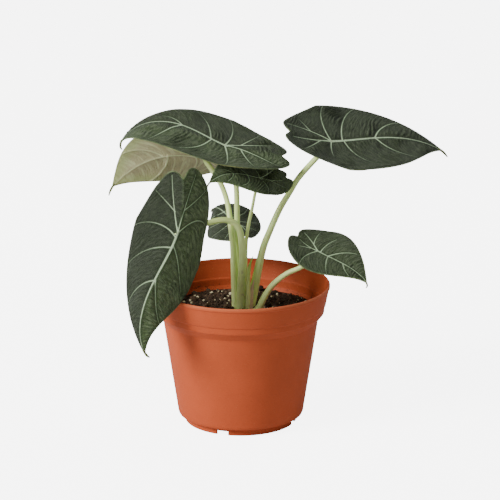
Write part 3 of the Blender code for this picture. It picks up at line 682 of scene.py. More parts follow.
def blade_material(look):
    """Dark velvety upper face with a painted grey sheen on its cross ribs, pale sunken veins, thin light
    margin and a tan lower face.
    """

    def colour(tree):
        uv = coordinates(tree, "UV")
        tone_and_painted_light = use_group(tree, bpy.data.node_groups["mottle"], {
            "Vector": uv, "Tone A": rgba(look.dark, 0.66), "Tone B": rgba(look.dark, 1.30),
            "Drift Scale": 26.0, "Speck Scale": 170.0, "Speck Strength": 0.32,
        })["Color"]
        young = blend_colour(tree, field(tree, "youth"), tone_and_painted_light, rgba(look.young))
        # Painted sheen: grey-green laid on the raised cross ribs, in broken patches and fine streaks, stands
        # in for the velvet's sheen.
        painted_sheen_on_ribs = product(tree, smooth_step(tree, field(tree, "ribs"), 0.35, 1.0), field(tree, "inner"))
        broken = noise(tree, stretched(tree, uv, (1.0, 0.7, 1.0)), 20.0, 5.0, 0.65)
        broken = smooth_step(tree, broken, 0.40, 0.68)
        painted_sheen_on_ribs = product(tree, product(tree, painted_sheen_on_ribs, broken), field(tree, "patch"))
        fibres_and_sheen_streaks = noise(tree, stretched(tree, uv, (2.4, 0.7, 1.0)), 34.0, 6.0, 0.75, 0.7)
        fibres_and_sheen_streaks = product(tree, smooth_step(tree, fibres_and_sheen_streaks, 0.40, 0.64), field(tree, "inner"))
        painted_sheen = calc(tree, "ADD", product(tree, painted_sheen_on_ribs, 0.8), product(tree, fibres_and_sheen_streaks, 0.8), True)
        top = blend_colour(tree, product(tree, painted_sheen, 0.62), young, rgba(look.painted_sheen))
        # Painted light: the upper face is multiplied by the tone attribute, a gain that lightens a shaded
        # half and darkens an over-lit one.
        painted_light_gain = {channel: field(tree, "tone_and_painted_light") for channel in range(3)}
        gain = add_node(tree, "ShaderNodeCombineColor", painted_light_gain).outputs[0]
        top = blend_colour(tree, 1.0, top, gain, "MULTIPLY")
        veins = smooth_step(tree, field(tree, "veins"), -0.28, 0.22)
        veins = product(tree, veins, 0.94)
        rib = smooth_step(tree, field(tree, "midrib"), -0.25, 0.25)
        halo = calc(tree, "MAXIMUM", field(tree, "veins"), field(tree, "midrib"))
        halo = product(tree, smooth_step(tree, halo, -1.6, 0.0), 0.22)
        top = blend_colour(tree, halo, top, rgba(look.young))
        rungs = noise(tree, stretched(tree, uv, (6.0, 0.6, 1.0)), 40.0, 2.0)
        rib_tone = shades(tree, smooth_step(tree, rungs, 0.35, 0.65), look.vein, 0.78, 1.0)
        top = blend_colour(tree, veins, top, rgba(look.vein))
        top = blend_colour(tree, rib, top, rib_tone)
        top = blend_colour(tree, smooth_step(tree, field(tree, "hub"), 0.45, 0.95), top, rgba(look.hub))
        rim = one_less(tree, smooth_step(tree, field(tree, "edge"), 0.30, 0.90))
        rim = product(tree, rim, calc(tree, "ADD", 0.25, product(tree, broken, 0.6)))
        top = blend_colour(tree, rim, top, rgba(look.margin))

        low = use_group(tree, bpy.data.node_groups["mottle"], {
            "Vector": uv, "Tone A": rgba(look.underside, 0.93), "Tone B": rgba(look.underside, 1.08),
            "Drift Scale": 12.0, "Speck Scale": 160.0, "Speck Strength": 0.12,
        })["Color"]
        cross = noise(tree, stretched(tree, uv, (2.6, 0.35, 1.0)), 14.0, 3.0, 0.5, 0.5)
        cross = product(tree, smooth_step(tree, cross, 0.44, 0.66), field(tree, "inner"))
        low = blend_colour(tree, product(tree, cross, 0.66), low, rgba(look.under_vein))
        green = one_less(tree, smooth_step(tree, field(tree, "edge"), 1.0, 9.0))
        low = blend_colour(tree, product(tree, green, 0.6), low, rgba(look.under_margin))
        low_vein = calc(tree, "MAXIMUM", smooth_step(tree, field(tree, "veins"), -0.60, 0.15),
                        smooth_step(tree, field(tree, "midrib"), -0.3, 0.3))
        low = blend_colour(tree, product(tree, low_vein, 0.95), low, rgba(look.under_vein))
        both = blend_colour(tree, field(tree, "under"), top, low)
        return blend_colour(tree, field(tree, "tail"), both, rgba(look.tip))

    def roughness(tree):
        grain = noise(tree, coordinates(tree, "UV"), 120.0, 4.0)
        return calc(tree, "ADD", 0.48, product(tree, grain, 0.22))

    def height(tree):
        uv = coordinates(tree, "UV")
        cells = pores(tree, uv, 150.0)
        wrinkles = noise(tree, stretched(tree, uv, (2.0, 0.6, 1.0)), 40.0, 5.0, 0.62, 0.8)
        return calc(tree, "ADD", product(tree, cells, 0.35), wrinkles)

    return new_material(
        "alocasia_blade", colour, roughness, height, strength=1.0, depth=0.0032,
        Sheen_Weight=0.14, Sheen_Roughness=0.45, Sheen_Tint=(0.85, 0.95, 0.8, 1.0), Specular_IOR_Level=0.20,
    )


def stalk_material(look):
    """Pale green stalk, darker and blotched towards its foot, with fine lengthwise streaks."""

    def colour(tree):
        uv = coordinates(tree, "UV")
        rise = field(tree, "rise")
        streaks = noise(tree, stretched(tree, uv, (16.0, 1.6, 1.0)), 1.4, 5.0, 0.65)
        fresh = shades(tree, smooth_step(tree, streaks, 0.35, 0.7), look.stalk, 0.86, 1.1)
        blotch = noise(tree, stretched(tree, uv, (3.0, 14.0, 1.0)), 1.7, 6.0, 0.7, 0.7)
        foot = one_less(tree, smooth_step(tree, rise, 0.008, 0.050))
        mark = product(tree, smooth_step(tree, blotch, 0.55, 0.70), foot)
        lower = blend_colour(tree, product(tree, foot, 0.75), fresh, rgba(look.stalk_foot))
        marked = blend_colour(tree, product(tree, mark, 0.6), lower, rgba(look.stalk_mark))
        flecks = noise(tree, stretched(tree, uv, (5.0, 30.0, 1.0)), 2.4, 3.0)
        flecks = product(tree, smooth_step(tree, flecks, 0.62, 0.74), 0.4)
        return blend_colour(tree, flecks, marked, rgba(look.stalk_foot))

    def height(tree):
        return noise(tree, stretched(tree, coordinates(tree, "UV"), (30.0, 2.5, 1.0)), 1.5, 4.0)

    return new_material("stalk", colour, 0.38, height, strength=0.35, depth=0.0003, Specular_IOR_Level=0.5,
                        Subsurface_Weight=0.06, Subsurface_Scale=0.002)


def shoot_material(look):
    def colour(tree):
        uv = coordinates(tree, "UV")
        streaks = noise(tree, stretched(tree, uv, (14.0, 1.4, 1.0)), 1.5, 5.0)
        fresh = shades(tree, smooth_step(tree, streaks, 0.35, 0.65), look.shoot, 0.8, 1.15)
        foot = one_less(tree, smooth_step(tree, field(tree, "rise"), 0.012, 0.036))
        return blend_colour(tree, foot, fresh, rgba(look.stalk_foot, 1.1))

    def height(tree):
        return noise(tree, stretched(tree, coordinates(tree, "UV"), (26.0, 2.0, 1.0)), 1.5, 3.0)

    return new_material("new_shoot", colour, 0.35, height, strength=0.3)


def sheath_material(look):
    """Thin dry skin: tan with pink and brown lengthwise fibres."""

    def colour(tree):
        uv = coordinates(tree, "UV")
        fibres_and_sheen_streaks = noise(tree, stretched(tree, uv, (20.0, 1.2, 1.0)), 1.6, 6.0, 0.7)
        dry = shades(tree, smooth_step(tree, fibres_and_sheen_streaks, 0.3, 0.7), look.sheath, 0.85, 1.2)
        tip = smooth_step(tree, field(tree, "rise"), 0.016, 0.030)
        return blend_colour(tree, product(tree, tip, 0.5), dry, rgba(look.sheath_tip))

    def height(tree):
        return noise(tree, stretched(tree, coordinates(tree, "UV"), (40.0, 2.0, 1.0)), 1.6, 5.0)

    return new_material("dry_sheath", colour, 0.7, height, strength=0.7, depth=0.0004)


def pot_material(look, inside):
    """Moulded matte plastic: a fine sandy speckle, faint turning lines and, inside, mix residue."""

    def colour(tree):
        where = coordinates(tree)
        gain = 0.84 if inside else 1.0
        base = use_group(tree, bpy.data.node_groups["mottle"], {
            "Vector": where, "Tone A": rgba(look.colour, 0.965 * gain),
            "Tone B": rgba(look.colour, 1.03 * gain),
            "Drift Scale": 45.0, "Speck Scale": 1500.0, "Speck Strength": 0.10,
        })["Color"]
        pale = smooth_step(tree, noise(tree, where, 1150.0, 2.0), 0.60, 0.74)
        base = blend_colour(tree, product(tree, pale, 0.30 if inside else 0.16), base, rgba(look.speck))
        height = add_node(tree, "ShaderNodeSeparateXYZ", {0: where}).outputs[2]
        if not inside:
            lip = smooth_step(tree, height, (POT_HEIGHT - 2.0) * MM, (POT_HEIGHT - 0.6) * MM)
            base = blend_colour(tree, product(tree, lip, 0.30), base, rgba(look.speck))
            scuff = noise(tree, stretched(tree, where, (1.0, 1.0, 5.0)), 240.0, 5.0, 0.7)
            scuff = smooth_step(tree, scuff, 0.62, 0.8)
            low = one_less(tree, smooth_step(tree, height, 4.0 * MM, 9.0 * MM))
            scuff = product(tree, scuff, calc(tree, "ADD", 0.10, product(tree, low, 0.45)))
            return blend_colour(tree, scuff, base, rgba(look.speck))
        wall = one_less(tree, smooth_step(tree, height, 68.5 * MM, 76.0 * MM))
        dust = noise(tree, stretched(tree, where, (1.0, 1.0, 1.8)), 420.0, 6.0, 0.72)
        cover = calc(tree, "ADD", dust, product(tree, wall, 0.12))
        cover = product(tree, smooth_step(tree, cover, 0.69, 0.74), 0.8)
        return blend_colour(tree, cover, base, rgba(look.residue))

    def roughness(tree):
        grain = noise(tree, coordinates(tree), 700.0, 4.0)
        return calc(tree, "ADD", 0.46, product(tree, grain, 0.2))

    def height(tree):
        where = coordinates(tree)
        grain = pores(tree, where, 1300.0)
        turning = noise(tree, stretched(tree, where, (0.02, 0.02, 1.0)), 900.0, 2.0)
        return calc(tree, "ADD", grain, product(tree, turning, 0.5))

    return new_material(
        "pot_inside" if inside else "pot_outside", colour, roughness, height, strength=0.32, depth=0.00012,
        Specular_IOR_Level=0.14,
    )


def mix_material(look):
    def colour(tree):
        where = coordinates(tree)
        coarse = smooth_step(tree, noise(tree, where, 260.0, 6.0, 0.7), 0.36, 0.66)
        base = shades(tree, coarse, look.colour, 0.45, 1.3)
        peat = smooth_step(tree, noise(tree, where, 1100.0, 3.0), 0.58, 0.72)
        base = blend_colour(tree, product(tree, peat, 0.55), base, rgba(look.bark))
        dot = smooth_step(tree, noise(tree, where, 1500.0, 1.0), 0.74, 0.80)
        return blend_colour(tree, product(tree, dot, 0.7), base, rgba(look.grain, 0.7))

    def height(tree):
        return pores(tree, coordinates(tree), 600.0)

    return new_material(
        "potting_mix", colour, 0.93, height, strength=1.0, depth=0.0012, Specular_IOR_Level=0.25
    )


def crumb_material(look):
    """Crumbs and bark: each takes its own tone from dark peat to worn bark."""

    def colour(tree):
        where = coordinates(tree)
        tone_and_painted_light = blend_colour(tree, field(tree, "tone_and_painted_light"), rgba(look.colour, 0.55), rgba(look.bark))
        grain = noise(tree, where, 1300.0, 5.0, 0.7)
        worn = product(tree, smooth_step(tree, grain, 0.4, 0.7), 0.5)
        return blend_colour(tree, worn, tone_and_painted_light, rgba(look.colour, 0.6))

    def height(tree):
        return pores(tree, coordinates(tree), 1200.0)

    return new_material("crumbs", colour, 0.92, height, strength=0.9, depth=0.0005, Specular_IOR_Level=0.25)


def grain_material(look):
    """Perlite: chalky white with pits and a little peat caught on it."""

    def colour(tree):
        where = coordinates(tree)
        pits = smooth_step(tree, noise(tree, where, 1900.0, 4.0, 0.6), 0.40, 0.62)
        base = shades(tree, pits, look.grain, 0.72, 1.05)
        dirt = smooth_step(tree, noise(tree, where, 620.0, 5.0, 0.7), 0.56, 0.72)
        return blend_colour(tree, product(tree, dirt, 0.55), base, rgba(look.bark))

    def height(tree):
        return pores(tree, coordinates(tree), 1700.0)

    return new_material("perlite", colour, 0.85, height, strength=0.9, depth=0.0004)


def rhizome_material(look):
    def colour(tree):
        where = coordinates(tree)
        rings = noise(tree, stretched(tree, where, (1.0, 1.0, 6.0)), 160.0, 4.0)
        return shades(tree, smooth_step(tree, rings, 0.4, 0.65), look.bark, 0.5, 1.2)

    def height(tree):
        return noise(tree, stretched(tree, coordinates(tree), (1.0, 1.0, 5.0)), 300.0, 5.0)

    return new_material("rhizome_skin", colour, 0.8, height, strength=0.8, depth=0.0006)


def floor_material(look):
    """Pale studio paper: mostly self-lit, so that it stays even and keeps only a faint shadow."""
    made = bpy.data.materials.new("studio_paper")
    made.use_nodes = True
    tree = made.node_tree
    tree.nodes.clear()
    grain = noise(tree, coordinates(tree), 3.0, 2.0)
    tone_and_painted_light = blend_colour(tree, grain, rgba(look.floor, 0.99), rgba(look.floor))
    matte = add_node(tree, "ShaderNodeBsdfDiffuse", {"Color": tone_and_painted_light}).outputs[0]
    white = (1.0, 1.0, 1.0, 1.0)
    glow = add_node(tree, "ShaderNodeEmission", {"Color": white, "Strength": look.floor_glow}).outputs[0]
    seen = add_node(tree, "ShaderNodeLightPath").outputs["Is Camera Ray"]
    lit = add_node(tree, "ShaderNodeAddShader", {0: matte, 1: glow}).outputs[0]
    shown = add_node(tree, "ShaderNodeMixShader", {0: seen, 1: matte, 2: lit}).outputs[0]
    out = add_node(tree, "ShaderNodeOutputMaterial")
    tree.links.new(shown, out.inputs["Surface"])
    return made


# --- settings -----------------------------------------------------------------------------------


def colour_setting(name, text, default):
    return bpy.props.FloatVectorProperty(
        name=name, description=text, subtype="COLOR", size=3, min=0.0, max=1.0, default=default
    )


def number_setting(name, text, default, **limits):
    return bpy.props.FloatProperty(name=name, description=text, default=default, **limits)


def count_setting(name, text, default, low, high):
    return bpy.props.IntProperty(name=name, description=text, default=default, min=low, max=high)


class LeafSettings(bpy.types.PropertyGroup):
    dark: colour_setting("Upper face", "Main colour of the upper face", (0.024, 0.040, 0.0122))
    # Painted sheen: this colour is laid on the raised cross ribs in place of the velvet's grey sheen.
    painted_sheen: colour_setting("Silvered ribs", "Colour of the raised cross ribs", (0.135, 0.170, 0.098))
    young: colour_setting("Young green", "Colour of young leaves and beside veins", (0.040, 0.070, 0.020))
    vein: colour_setting("Veins", "Colour of the veins on the upper face", (0.72, 0.95, 0.60))
    hub: colour_setting("Junction", "Colour where stalk and midrib meet", (0.60, 0.74, 0.42))
    margin: colour_setting("Margin", "Colour of the thin light margin", (0.34, 0.46, 0.19))
    tip: colour_setting("Drip tip", "Colour of the drip tip", (0.34, 0.40, 0.14))
    underside: colour_setting("Lower face", "Main colour of the lower face", (0.62, 0.585, 0.315))
    under_margin: colour_setting("Lower margin", "Lower face near its margin", (0.56, 0.70, 0.25))
    under_vein: colour_setting("Lower veins", "Veins of the lower face", (0.95, 1.0, 0.60))
    relief: number_setting(
        "Relief", "How strongly the blade swells between veins", 1.0, min=0.0, max=2.0, subtype="FACTOR"
    )


class StalkSettings(bpy.types.PropertyGroup):
    stalk: colour_setting("Stalk", "Colour of the fresh stalk", (0.72, 0.90, 0.33))
    stalk_foot: colour_setting("Stalk foot", "Colour near the mix", (0.74, 0.90, 0.36))
    stalk_mark: colour_setting("Blotches", "Colour of the blotches near the mix", (0.22, 0.19, 0.09))
    shoot: colour_setting("New shoot", "Colour of the rolled new leaf", (0.36, 0.54, 0.07))
    sheath: colour_setting("Dry sheath", "Colour of the dry sheath", (0.76, 0.60, 0.40))
    sheath_tip: colour_setting("Sheath tip", "Colour of the sheath's tip", (0.80, 0.64, 0.52))
    around: count_setting("Sides", "Facets round each stalk", 28, 8, 64)


class PotSettings(bpy.types.PropertyGroup):
    colour: colour_setting("Pot", "Colour of the plastic", (0.525, 0.093, 0.031))
    speck: colour_setting("Specks", "Colour of pale specks and scuffs", (0.66, 0.22, 0.10))
    residue: colour_setting("Residue", "Colour of mix caught inside the rim", (0.06, 0.028, 0.016))
    wall: number_setting("Wall", "Wall thickness", 0.0012, min=0.0006, max=0.003, unit="LENGTH", precision=5)
    steps: count_setting("Steps", "Steps round the pot", 192, 48, 256)


class MixSettings(bpy.types.PropertyGroup):
    colour: colour_setting("Mix", "Colour of the moist peat", (0.052, 0.029, 0.016))
    bark: colour_setting("Bark", "Colour of bark and dry crumbs", (0.17, 0.105, 0.062))
    grain: colour_setting("Perlite", "Colour of the perlite", (0.74, 0.66, 0.42))
    crumbs: count_setting("Crumbs", "Number of loose crumbs", 950, 0, 3000)
    grains: count_setting("Perlite grains", "Number of perlite grains", 170, 0, 400)
    seed: bpy.props.IntProperty(name="Seed", description="Arrangement of crumbs and grains", default=4)


class StageSettings(bpy.types.PropertyGroup):
    floor: colour_setting("Floor", "Colour of the studio floor", (0.64, 0.64, 0.64))
    floor_glow: number_setting("Floor glow", "Evens out the floor", 6.0, min=0.0)
    key: number_setting("Key light", "Power of the left light", 67.0, min=0.0, unit="POWER")
    fill: number_setting("Fill light", "Strength of the even light", 0.36, min=0.0)
    distance: number_setting("Camera distance", "From the aim point", 1.7, unit="LENGTH")
    pitch: number_setting(
        "Camera pitch", "How far the camera looks down", math.radians(16.3), subtype="ANGLE"
    )


# --- operators ------------------------------------------------------------------------------------


class ALOCASIA_OT_effects(bpy.types.Operator):
    """Build the node groups that several finishes share"""

    bl_idname = "alocasia.effects"
    bl_label = "Shared Effects"

    def execute(self, context):
        mottle_group()
        pores_group()
        return {"FINISHED"}


class ALOCASIA_OT_leaves(bpy.types.Operator):
    """Build the leaf blades, one closed shell each"""

    bl_idname = "alocasia.leaves"
    bl_label = "Leaf Blades"

    def execute(self, context):
        look = context.scene.alocasia_leaf
        finish = blade_material(look)
        for seed, (name, leaf) in enumerate(LEAVES.items()):
            large = leaf["length"] > 60.0
            rows, half = (270, 78) if large else (170, 52)
            shells = blade_shell(leaf, rows, half, 10 * seed + 3, look.relief)
            points, quads, fields, uv = joined(shells)
            mesh = solid_mesh(f"blade_{name}", points, quads, fields, uv)
            place_piece(f"blade_{name}", mesh, [finish], "leaf_blade", f"leaf_{name}")
        return {"FINISHED"}


class ALOCASIA_OT_stalks(bpy.types.Operator):
    """Build the stalks from the crown to the blades"""

    bl_idname = "alocasia.stalks"
    bl_label = "Stalks"

    def execute(self, context):
        look = context.scene.alocasia_stalk
        finish = stalk_material(look)
        for name, leaf in LEAVES.items():
            low, high = (share * STEM_RADIUS for share in leaf["thick"])
            _, _, normal, ahead = midrib_frames(leaf, np.array([0.0]))
            under = 0.5 * BLADE_THICKNESS + 0.3 + 1.2 * high
            junction = np.array(leaf["junction"])
            # A folded blade falls away beside its midrib, so the stalk's end sits deeper under it.
            slope = math.tan(math.radians(max(0.0, -min(leaf["fold"]))))
            end = junction - normal[0] * (under + 0.35 * high * slope)
            into = junction + ahead[0] * 3.0 - normal[0] * (0.75 + 0.75 * high * slope)
            stops = [(*leaf["base"], -CROWN_DEPTH + 0.3), (*leaf["base"], 0.0), *leaf["route"], tuple(end)]
            widths = np.linspace(low, high, len(stops))
            stops = [(*stop, width) for stop, width in zip(stops, widths)] + [(*into, 0.55 * high)]
            path = smooth_through(stops, 110)
            rise = path[:, 2]
            amount, reach = leaf.get("flare", (0.5, 26.0))
            radius = path[:, 3] * (1.08 + amount * np.exp(-((np.maximum(rise, 0.0) / reach) ** 2)))
            path = path[:, :3] + (0.0, 0.0, MIX_LEVEL)

            def groove(turn, share):
                """Slightly flattened circle with a shallow channel along one side of its foot."""
                channel = np.exp(-((turn - math.pi) ** 2) / 0.18) * np.exp(-share * 5.0)
                return 1.0 + 0.035 * np.cos(2 * turn + 5 * share) - 0.07 * channel

            points, quads, _, uv = tube(path * MM, radius * MM, look.around, groove)
            fields = {"rise": points[:, 2] - MIX_LEVEL * MM}
            mesh = solid_mesh(f"stalk_{name}", points, quads, fields, uv)
            place_piece(f"stalk_{name}", mesh, [finish], "petiole", f"petiole_{name}")
        return {"FINISHED"}


class ALOCASIA_OT_young_growth(bpy.types.Operator):
    """Build the rolled new leaf and the dry sheath beside it"""

    bl_idname = "alocasia.young_growth"
    bl_label = "New Shoot and Sheath"

    def execute(self, context):
        look = context.scene.alocasia_stalk

        def rolled(turn, share):
            """The radius grows once round the roll, and its step winds up the shoot."""
            return 1.0 + 0.16 * np.mod(turn - 4.0 * share, 2 * math.pi) / (2 * math.pi) - 0.08

        def creased(turn, share):
            """A flattened ring with nine fine creases."""
            return 1.0 + 0.22 * np.cos(2 * turn) + 0.05 * np.cos(9 * turn + 3 * share)

        for name, stops, shape, slot, finish in (
            ("new_shoot", NEW_SHOOT, rolled, "new_shoot", shoot_material(look)),
            ("sheath", SHEATH, creased, "dry_sheath", sheath_material(look)),
        ):
            path = smooth_through(stops, 70)
            centre = path[:, :3] + (0.0, 0.0, MIX_LEVEL)
            points, quads, _, uv = tube(centre * MM, path[:, 3] * STEM_RADIUS * MM, 32, shape)
            fields = {"rise": points[:, 2] - MIX_LEVEL * MM}
            mesh = solid_mesh(f"{name}_skin", points, quads, fields, uv)
            place_piece(f"{name}_skin", mesh, [finish], slot, name)
        return {"FINISHED"}


def pot_profile(wall):
    """The pot's outside, underside and inside as one closed line of (radius, height, inside)."""
    top, rim = POT_HEIGHT, RIM_RADIUS
    low, shoulder = top - BAND_HEIGHT, top - SHOULDER_DROP
    band = rim - BAND_INSET
    crease = top - CREASE_DROP
    crease_radius = rim - 0.5 - BAND_INSET * CREASE_DROP / BAND_HEIGHT + 0.5
    outside = [
        (rim - 0.55, top), (rim, top - 0.45), (rim, top - 2.2), (rim - 0.5, top - 2.7),
        (crease_radius, crease + 0.1), (crease_radius - 0.5, crease - 0.45), (band, low + 0.35),
        (band - 0.45, low), (band - 3.6, shoulder), (38.2, 6.3), (37.6, 4.8), (34.0, 4.8), (34.0, 0.35),
        (33.6, 0.0),
    ]
    under = [(32.4, 0.0), (32.2, 0.2), (32.2, 3.0), (14.5, 3.0), (13.2, 0.3), (12.8, 0.0), (0.0, 0.0)]
    inner = rim - BAND_INSET - wall
    inside = [
        (0.0, wall), (12.0, wall), (13.5, 3.0 + wall), (32.2, 3.0 + wall), (33.6, 4.8 + wall),
        (36.2, 5.2 + wall), (38.2 - wall, 6.6 + wall), (inner - 3.2, shoulder + 0.8), (inner, low + 1.2),
        (inner + 0.2, crease + 0.9), (inner + 0.9, crease + 1.6), (rim - 0.5 - wall, top - 3.2),
        (rim - wall, top - 0.4), (rim - wall + 0.35, top),
    ]
    return np.array([(*point, 0.0) for point in outside + under] + [(*point, 1.0) for point in inside])


def rounded(profile, reach=0.35, pieces=4):
    """Each inner corner becomes a quadratic curve that starts and ends up to reach from it."""
    place = profile[:, :2]
    back = np.roll(place, 1, axis=0) - place
    on = np.roll(place, -1, axis=0) - place
    ends = np.stack([back, on])
    size = np.linalg.norm(ends, axis=2, keepdims=True)
    cut = ends / np.maximum(size, 1e-9) * np.minimum(reach, 0.4 * size)
    axis = place[:, 0] < 1e-6
    cut[:, axis] = 0.0
    t = np.linspace(0, 1, pieces + 1)[None, :, None]
    start, end, corner = place + cut[0], place + cut[1], place[:, None]
    line = (1 - t) ** 2 * start[:, None] + 2 * t * (1 - t) * corner + t**2 * end[:, None]
    return line.reshape(-1, 2), np.repeat(profile[:, 2], pieces + 1)


def spaced(line, inside, longest=2.2):
    """Adds points to a closed line so that no stretch of it is longer than longest."""
    after = np.roll(line, -1, axis=0)
    count = np.maximum(np.ceil(np.linalg.norm(after - line, axis=1) / longest).astype(int), 1)
    start = np.repeat(np.arange(len(line)), count)
    step = np.arange(len(start)) - np.repeat(np.cumsum(count) - count, count)
    t = (step / count[start])[:, None]
    return line[start] * (1 - t) + after[start] * t, inside[start]


class ALOCASIA_OT_pot(bpy.types.Operator):
    """Turn the pot's profile and cut the drain notches and holes"""

    bl_idname = "alocasia.pot"
    bl_label = "Pot"

    def execute(self, context):
        look = context.scene.alocasia_pot
        line, inside = rounded(pot_profile(look.wall / MM))
        line, inside = spaced(line, inside)
        line = np.concatenate([line, line[:1]])
        turn = np.linspace(0, 2 * math.pi, look.steps + 1)
        ring = np.stack([np.cos(turn), np.sin(turn)], axis=1)
        ring[-1] = ring[0]
        heights = np.broadcast_to(line[:, None, 1:], (len(line), len(turn), 1))
        points = np.concatenate([line[:, None, :1] * ring[None], heights], axis=2)
        quads = grid_quads(len(line), len(turn))
        tags = np.repeat(inside > 0.5, look.steps).astype(np.int32)
        mesh = solid_mesh("pot_shell", points.reshape(-1, 3) * MM, quads, tags=tags)
        faces = [pot_material(look, False), pot_material(look, True)]
        obj = place_piece("pot_shell", mesh, faces, "pot_plastic", "pot")
        self.cut(context, obj)
        return {"FINISHED"}

    def cut(self, context, obj):
        """Removes four notches from the foot and four drain holes from the floor."""
        tools = []
        for step in range(4):
            turn = math.radians(-19.0 - 90 + 90 * step)
            out = np.array([math.cos(turn), math.sin(turn), 0.0])
            corners = [(x, y, z) for x in (-3.6, 3.6) for y in (-3.65, 3.65) for z in (-2.7, 2.7)]
            corners = np.array(corners) + (33.1, 0.0, 0.0)
            x, y, z = corners.T
            box = np.stack([x * out[0] - y * out[1], x * out[1] + y * out[0], z], axis=1)
            cells = np.array([
                (0, 1, 3, 2), (4, 6, 7, 5), (0, 4, 5, 1), (2, 3, 7, 6), (0, 2, 6, 4), (1, 5, 7, 3),
            ])
            tools.append((box * MM, cells, {}, box[:, :2]))
            hole = out * 23.5
            ends = np.array([hole + (0, 0, 1.8), hole + (0, 0, 3.6), hole + (0, 0, 5.4)])
            points, cells, _, uv = tube(ends * MM + 1e-7, np.full(3, 1.9 * MM), 24)
            tools.append((points, cells, {}, uv))
        points, cells, _, _ = joined(tools)
        cutter = bpy.data.objects.new("drain_cutter", solid_mesh("drain_cutter", points, cells))
        context.scene.collection.objects.link(cutter)
        boolean = obj.modifiers.new("drains", "BOOLEAN")
        boolean.operation, boolean.object, boolean.solver = "DIFFERENCE", cutter, "EXACT"
        graph = context.evaluated_depsgraph_get()
        cut = bpy.data.meshes.new_from_object(obj.evaluated_get(graph), depsgraph=graph)
        if len(cut.polygons) < 1000:
            raise RuntimeError("the drain cut removed the pot")
        obj.modifiers.clear()
        obj.data = cut
        cut.name = "pot_shell"
        bpy.data.objects.remove(cutter)


def mix_height(x, y):
    """Level at the wall, a little higher towards the plant, with lumps that settle at the wall.

    The wall slants in below the mix, so a lump that dipped there would run into it.
    """
    edge = RIM_RADIUS - MIX_INSET
    radius = np.hypot(x, y)
    crown = 1.4 * np.sin(0.5 * math.pi * np.clip(2.0 * (1.0 - radius / edge), 0.0, 1.0))
    lumps = 0.75 * ripples(x, y, 9.0, 31) + 0.42 * ripples(x, y, 3.6, 32) + 0.2 * ripples(x, y, 1.7, 33)
    heap = 1.2 * np.exp(-((np.hypot(x - CROWN[0], y - CROWN[1]) / 12.0) ** 2))
    settle = np.clip((edge - radius) / 2.0, 0.0, 1.0)
    return MIX_LEVEL - 0.4 + crown + 0.8 * settle * lumps + heap


def lump_shape():
    """An octahedron with each face split in four, pushed out to the unit sphere."""
    corners = np.array([(1, 0, 0), (0, 1, 0), (-1, 0, 0), (0, -1, 0), (0, 0, 1), (0, 0, -1)], float)
    faces = np.array([(0, 1, 4), (1, 2, 4), (2, 3, 4), (3, 0, 4), (1, 0, 5), (2, 1, 5), (3, 2, 5), (0, 3, 5)])
    pairs = np.sort(np.stack([faces, np.roll(faces, -1, axis=1)], axis=2).reshape(-1, 2), axis=1)
    edges, number = np.unique(pairs, axis=0, return_inverse=True)
    middle = number.reshape(-1, 3) + len(corners)
    points = unit(np.concatenate([corners, corners[edges].mean(1)]))
    a, b, c = faces.T
    ab, bc, ca = middle.T
    quarters = ((a, ab, ca), (ab, b, bc), (ca, bc, c), (ab, bc, ca))
    split = np.concatenate([np.stack(quarter, axis=1) for quarter in quarters])
    return points, split


def scattered(chance, places, sizes, stretch, rough, sink):
    """Copies of the lump: each is dented, stretched, turned at random and set into the mix."""
    shape, faces = lump_shape()
    count = len(places)
    dents = 1.0 + rough * chance.uniform(-1, 1, (count, len(shape), 1))
    body = shape[None] * dents * stretch[:, None, :] * sizes[:, None, None]
    turn = unit(chance.normal(size=(count, 4)))
    w, x, y, z = turn.T
    spin = np.stack([
        1 - 2 * (y * y + z * z), 2 * (x * y - z * w), 2 * (x * z + y * w),
        2 * (x * y + z * w), 1 - 2 * (x * x + z * z), 2 * (y * z - x * w),
        2 * (x * z - y * w), 2 * (y * z + x * w), 1 - 2 * (x * x + y * y),
    ], axis=1).reshape(-1, 3, 3)
    body = np.einsum("nij,nkj->nki", spin, body)
    height = mix_height(places[:, 0], places[:, 1]) + sizes * stretch.min(1) * sink
    centre = np.concatenate([places, height[:, None]], axis=1)
    points = (body + centre[:, None]).reshape(-1, 3) * MM
    faces = (faces[None] + (np.arange(count) * len(shape))[:, None, None]).reshape(-1, 3)
    return points, faces[:, [0, 1, 2, 2]], len(shape)


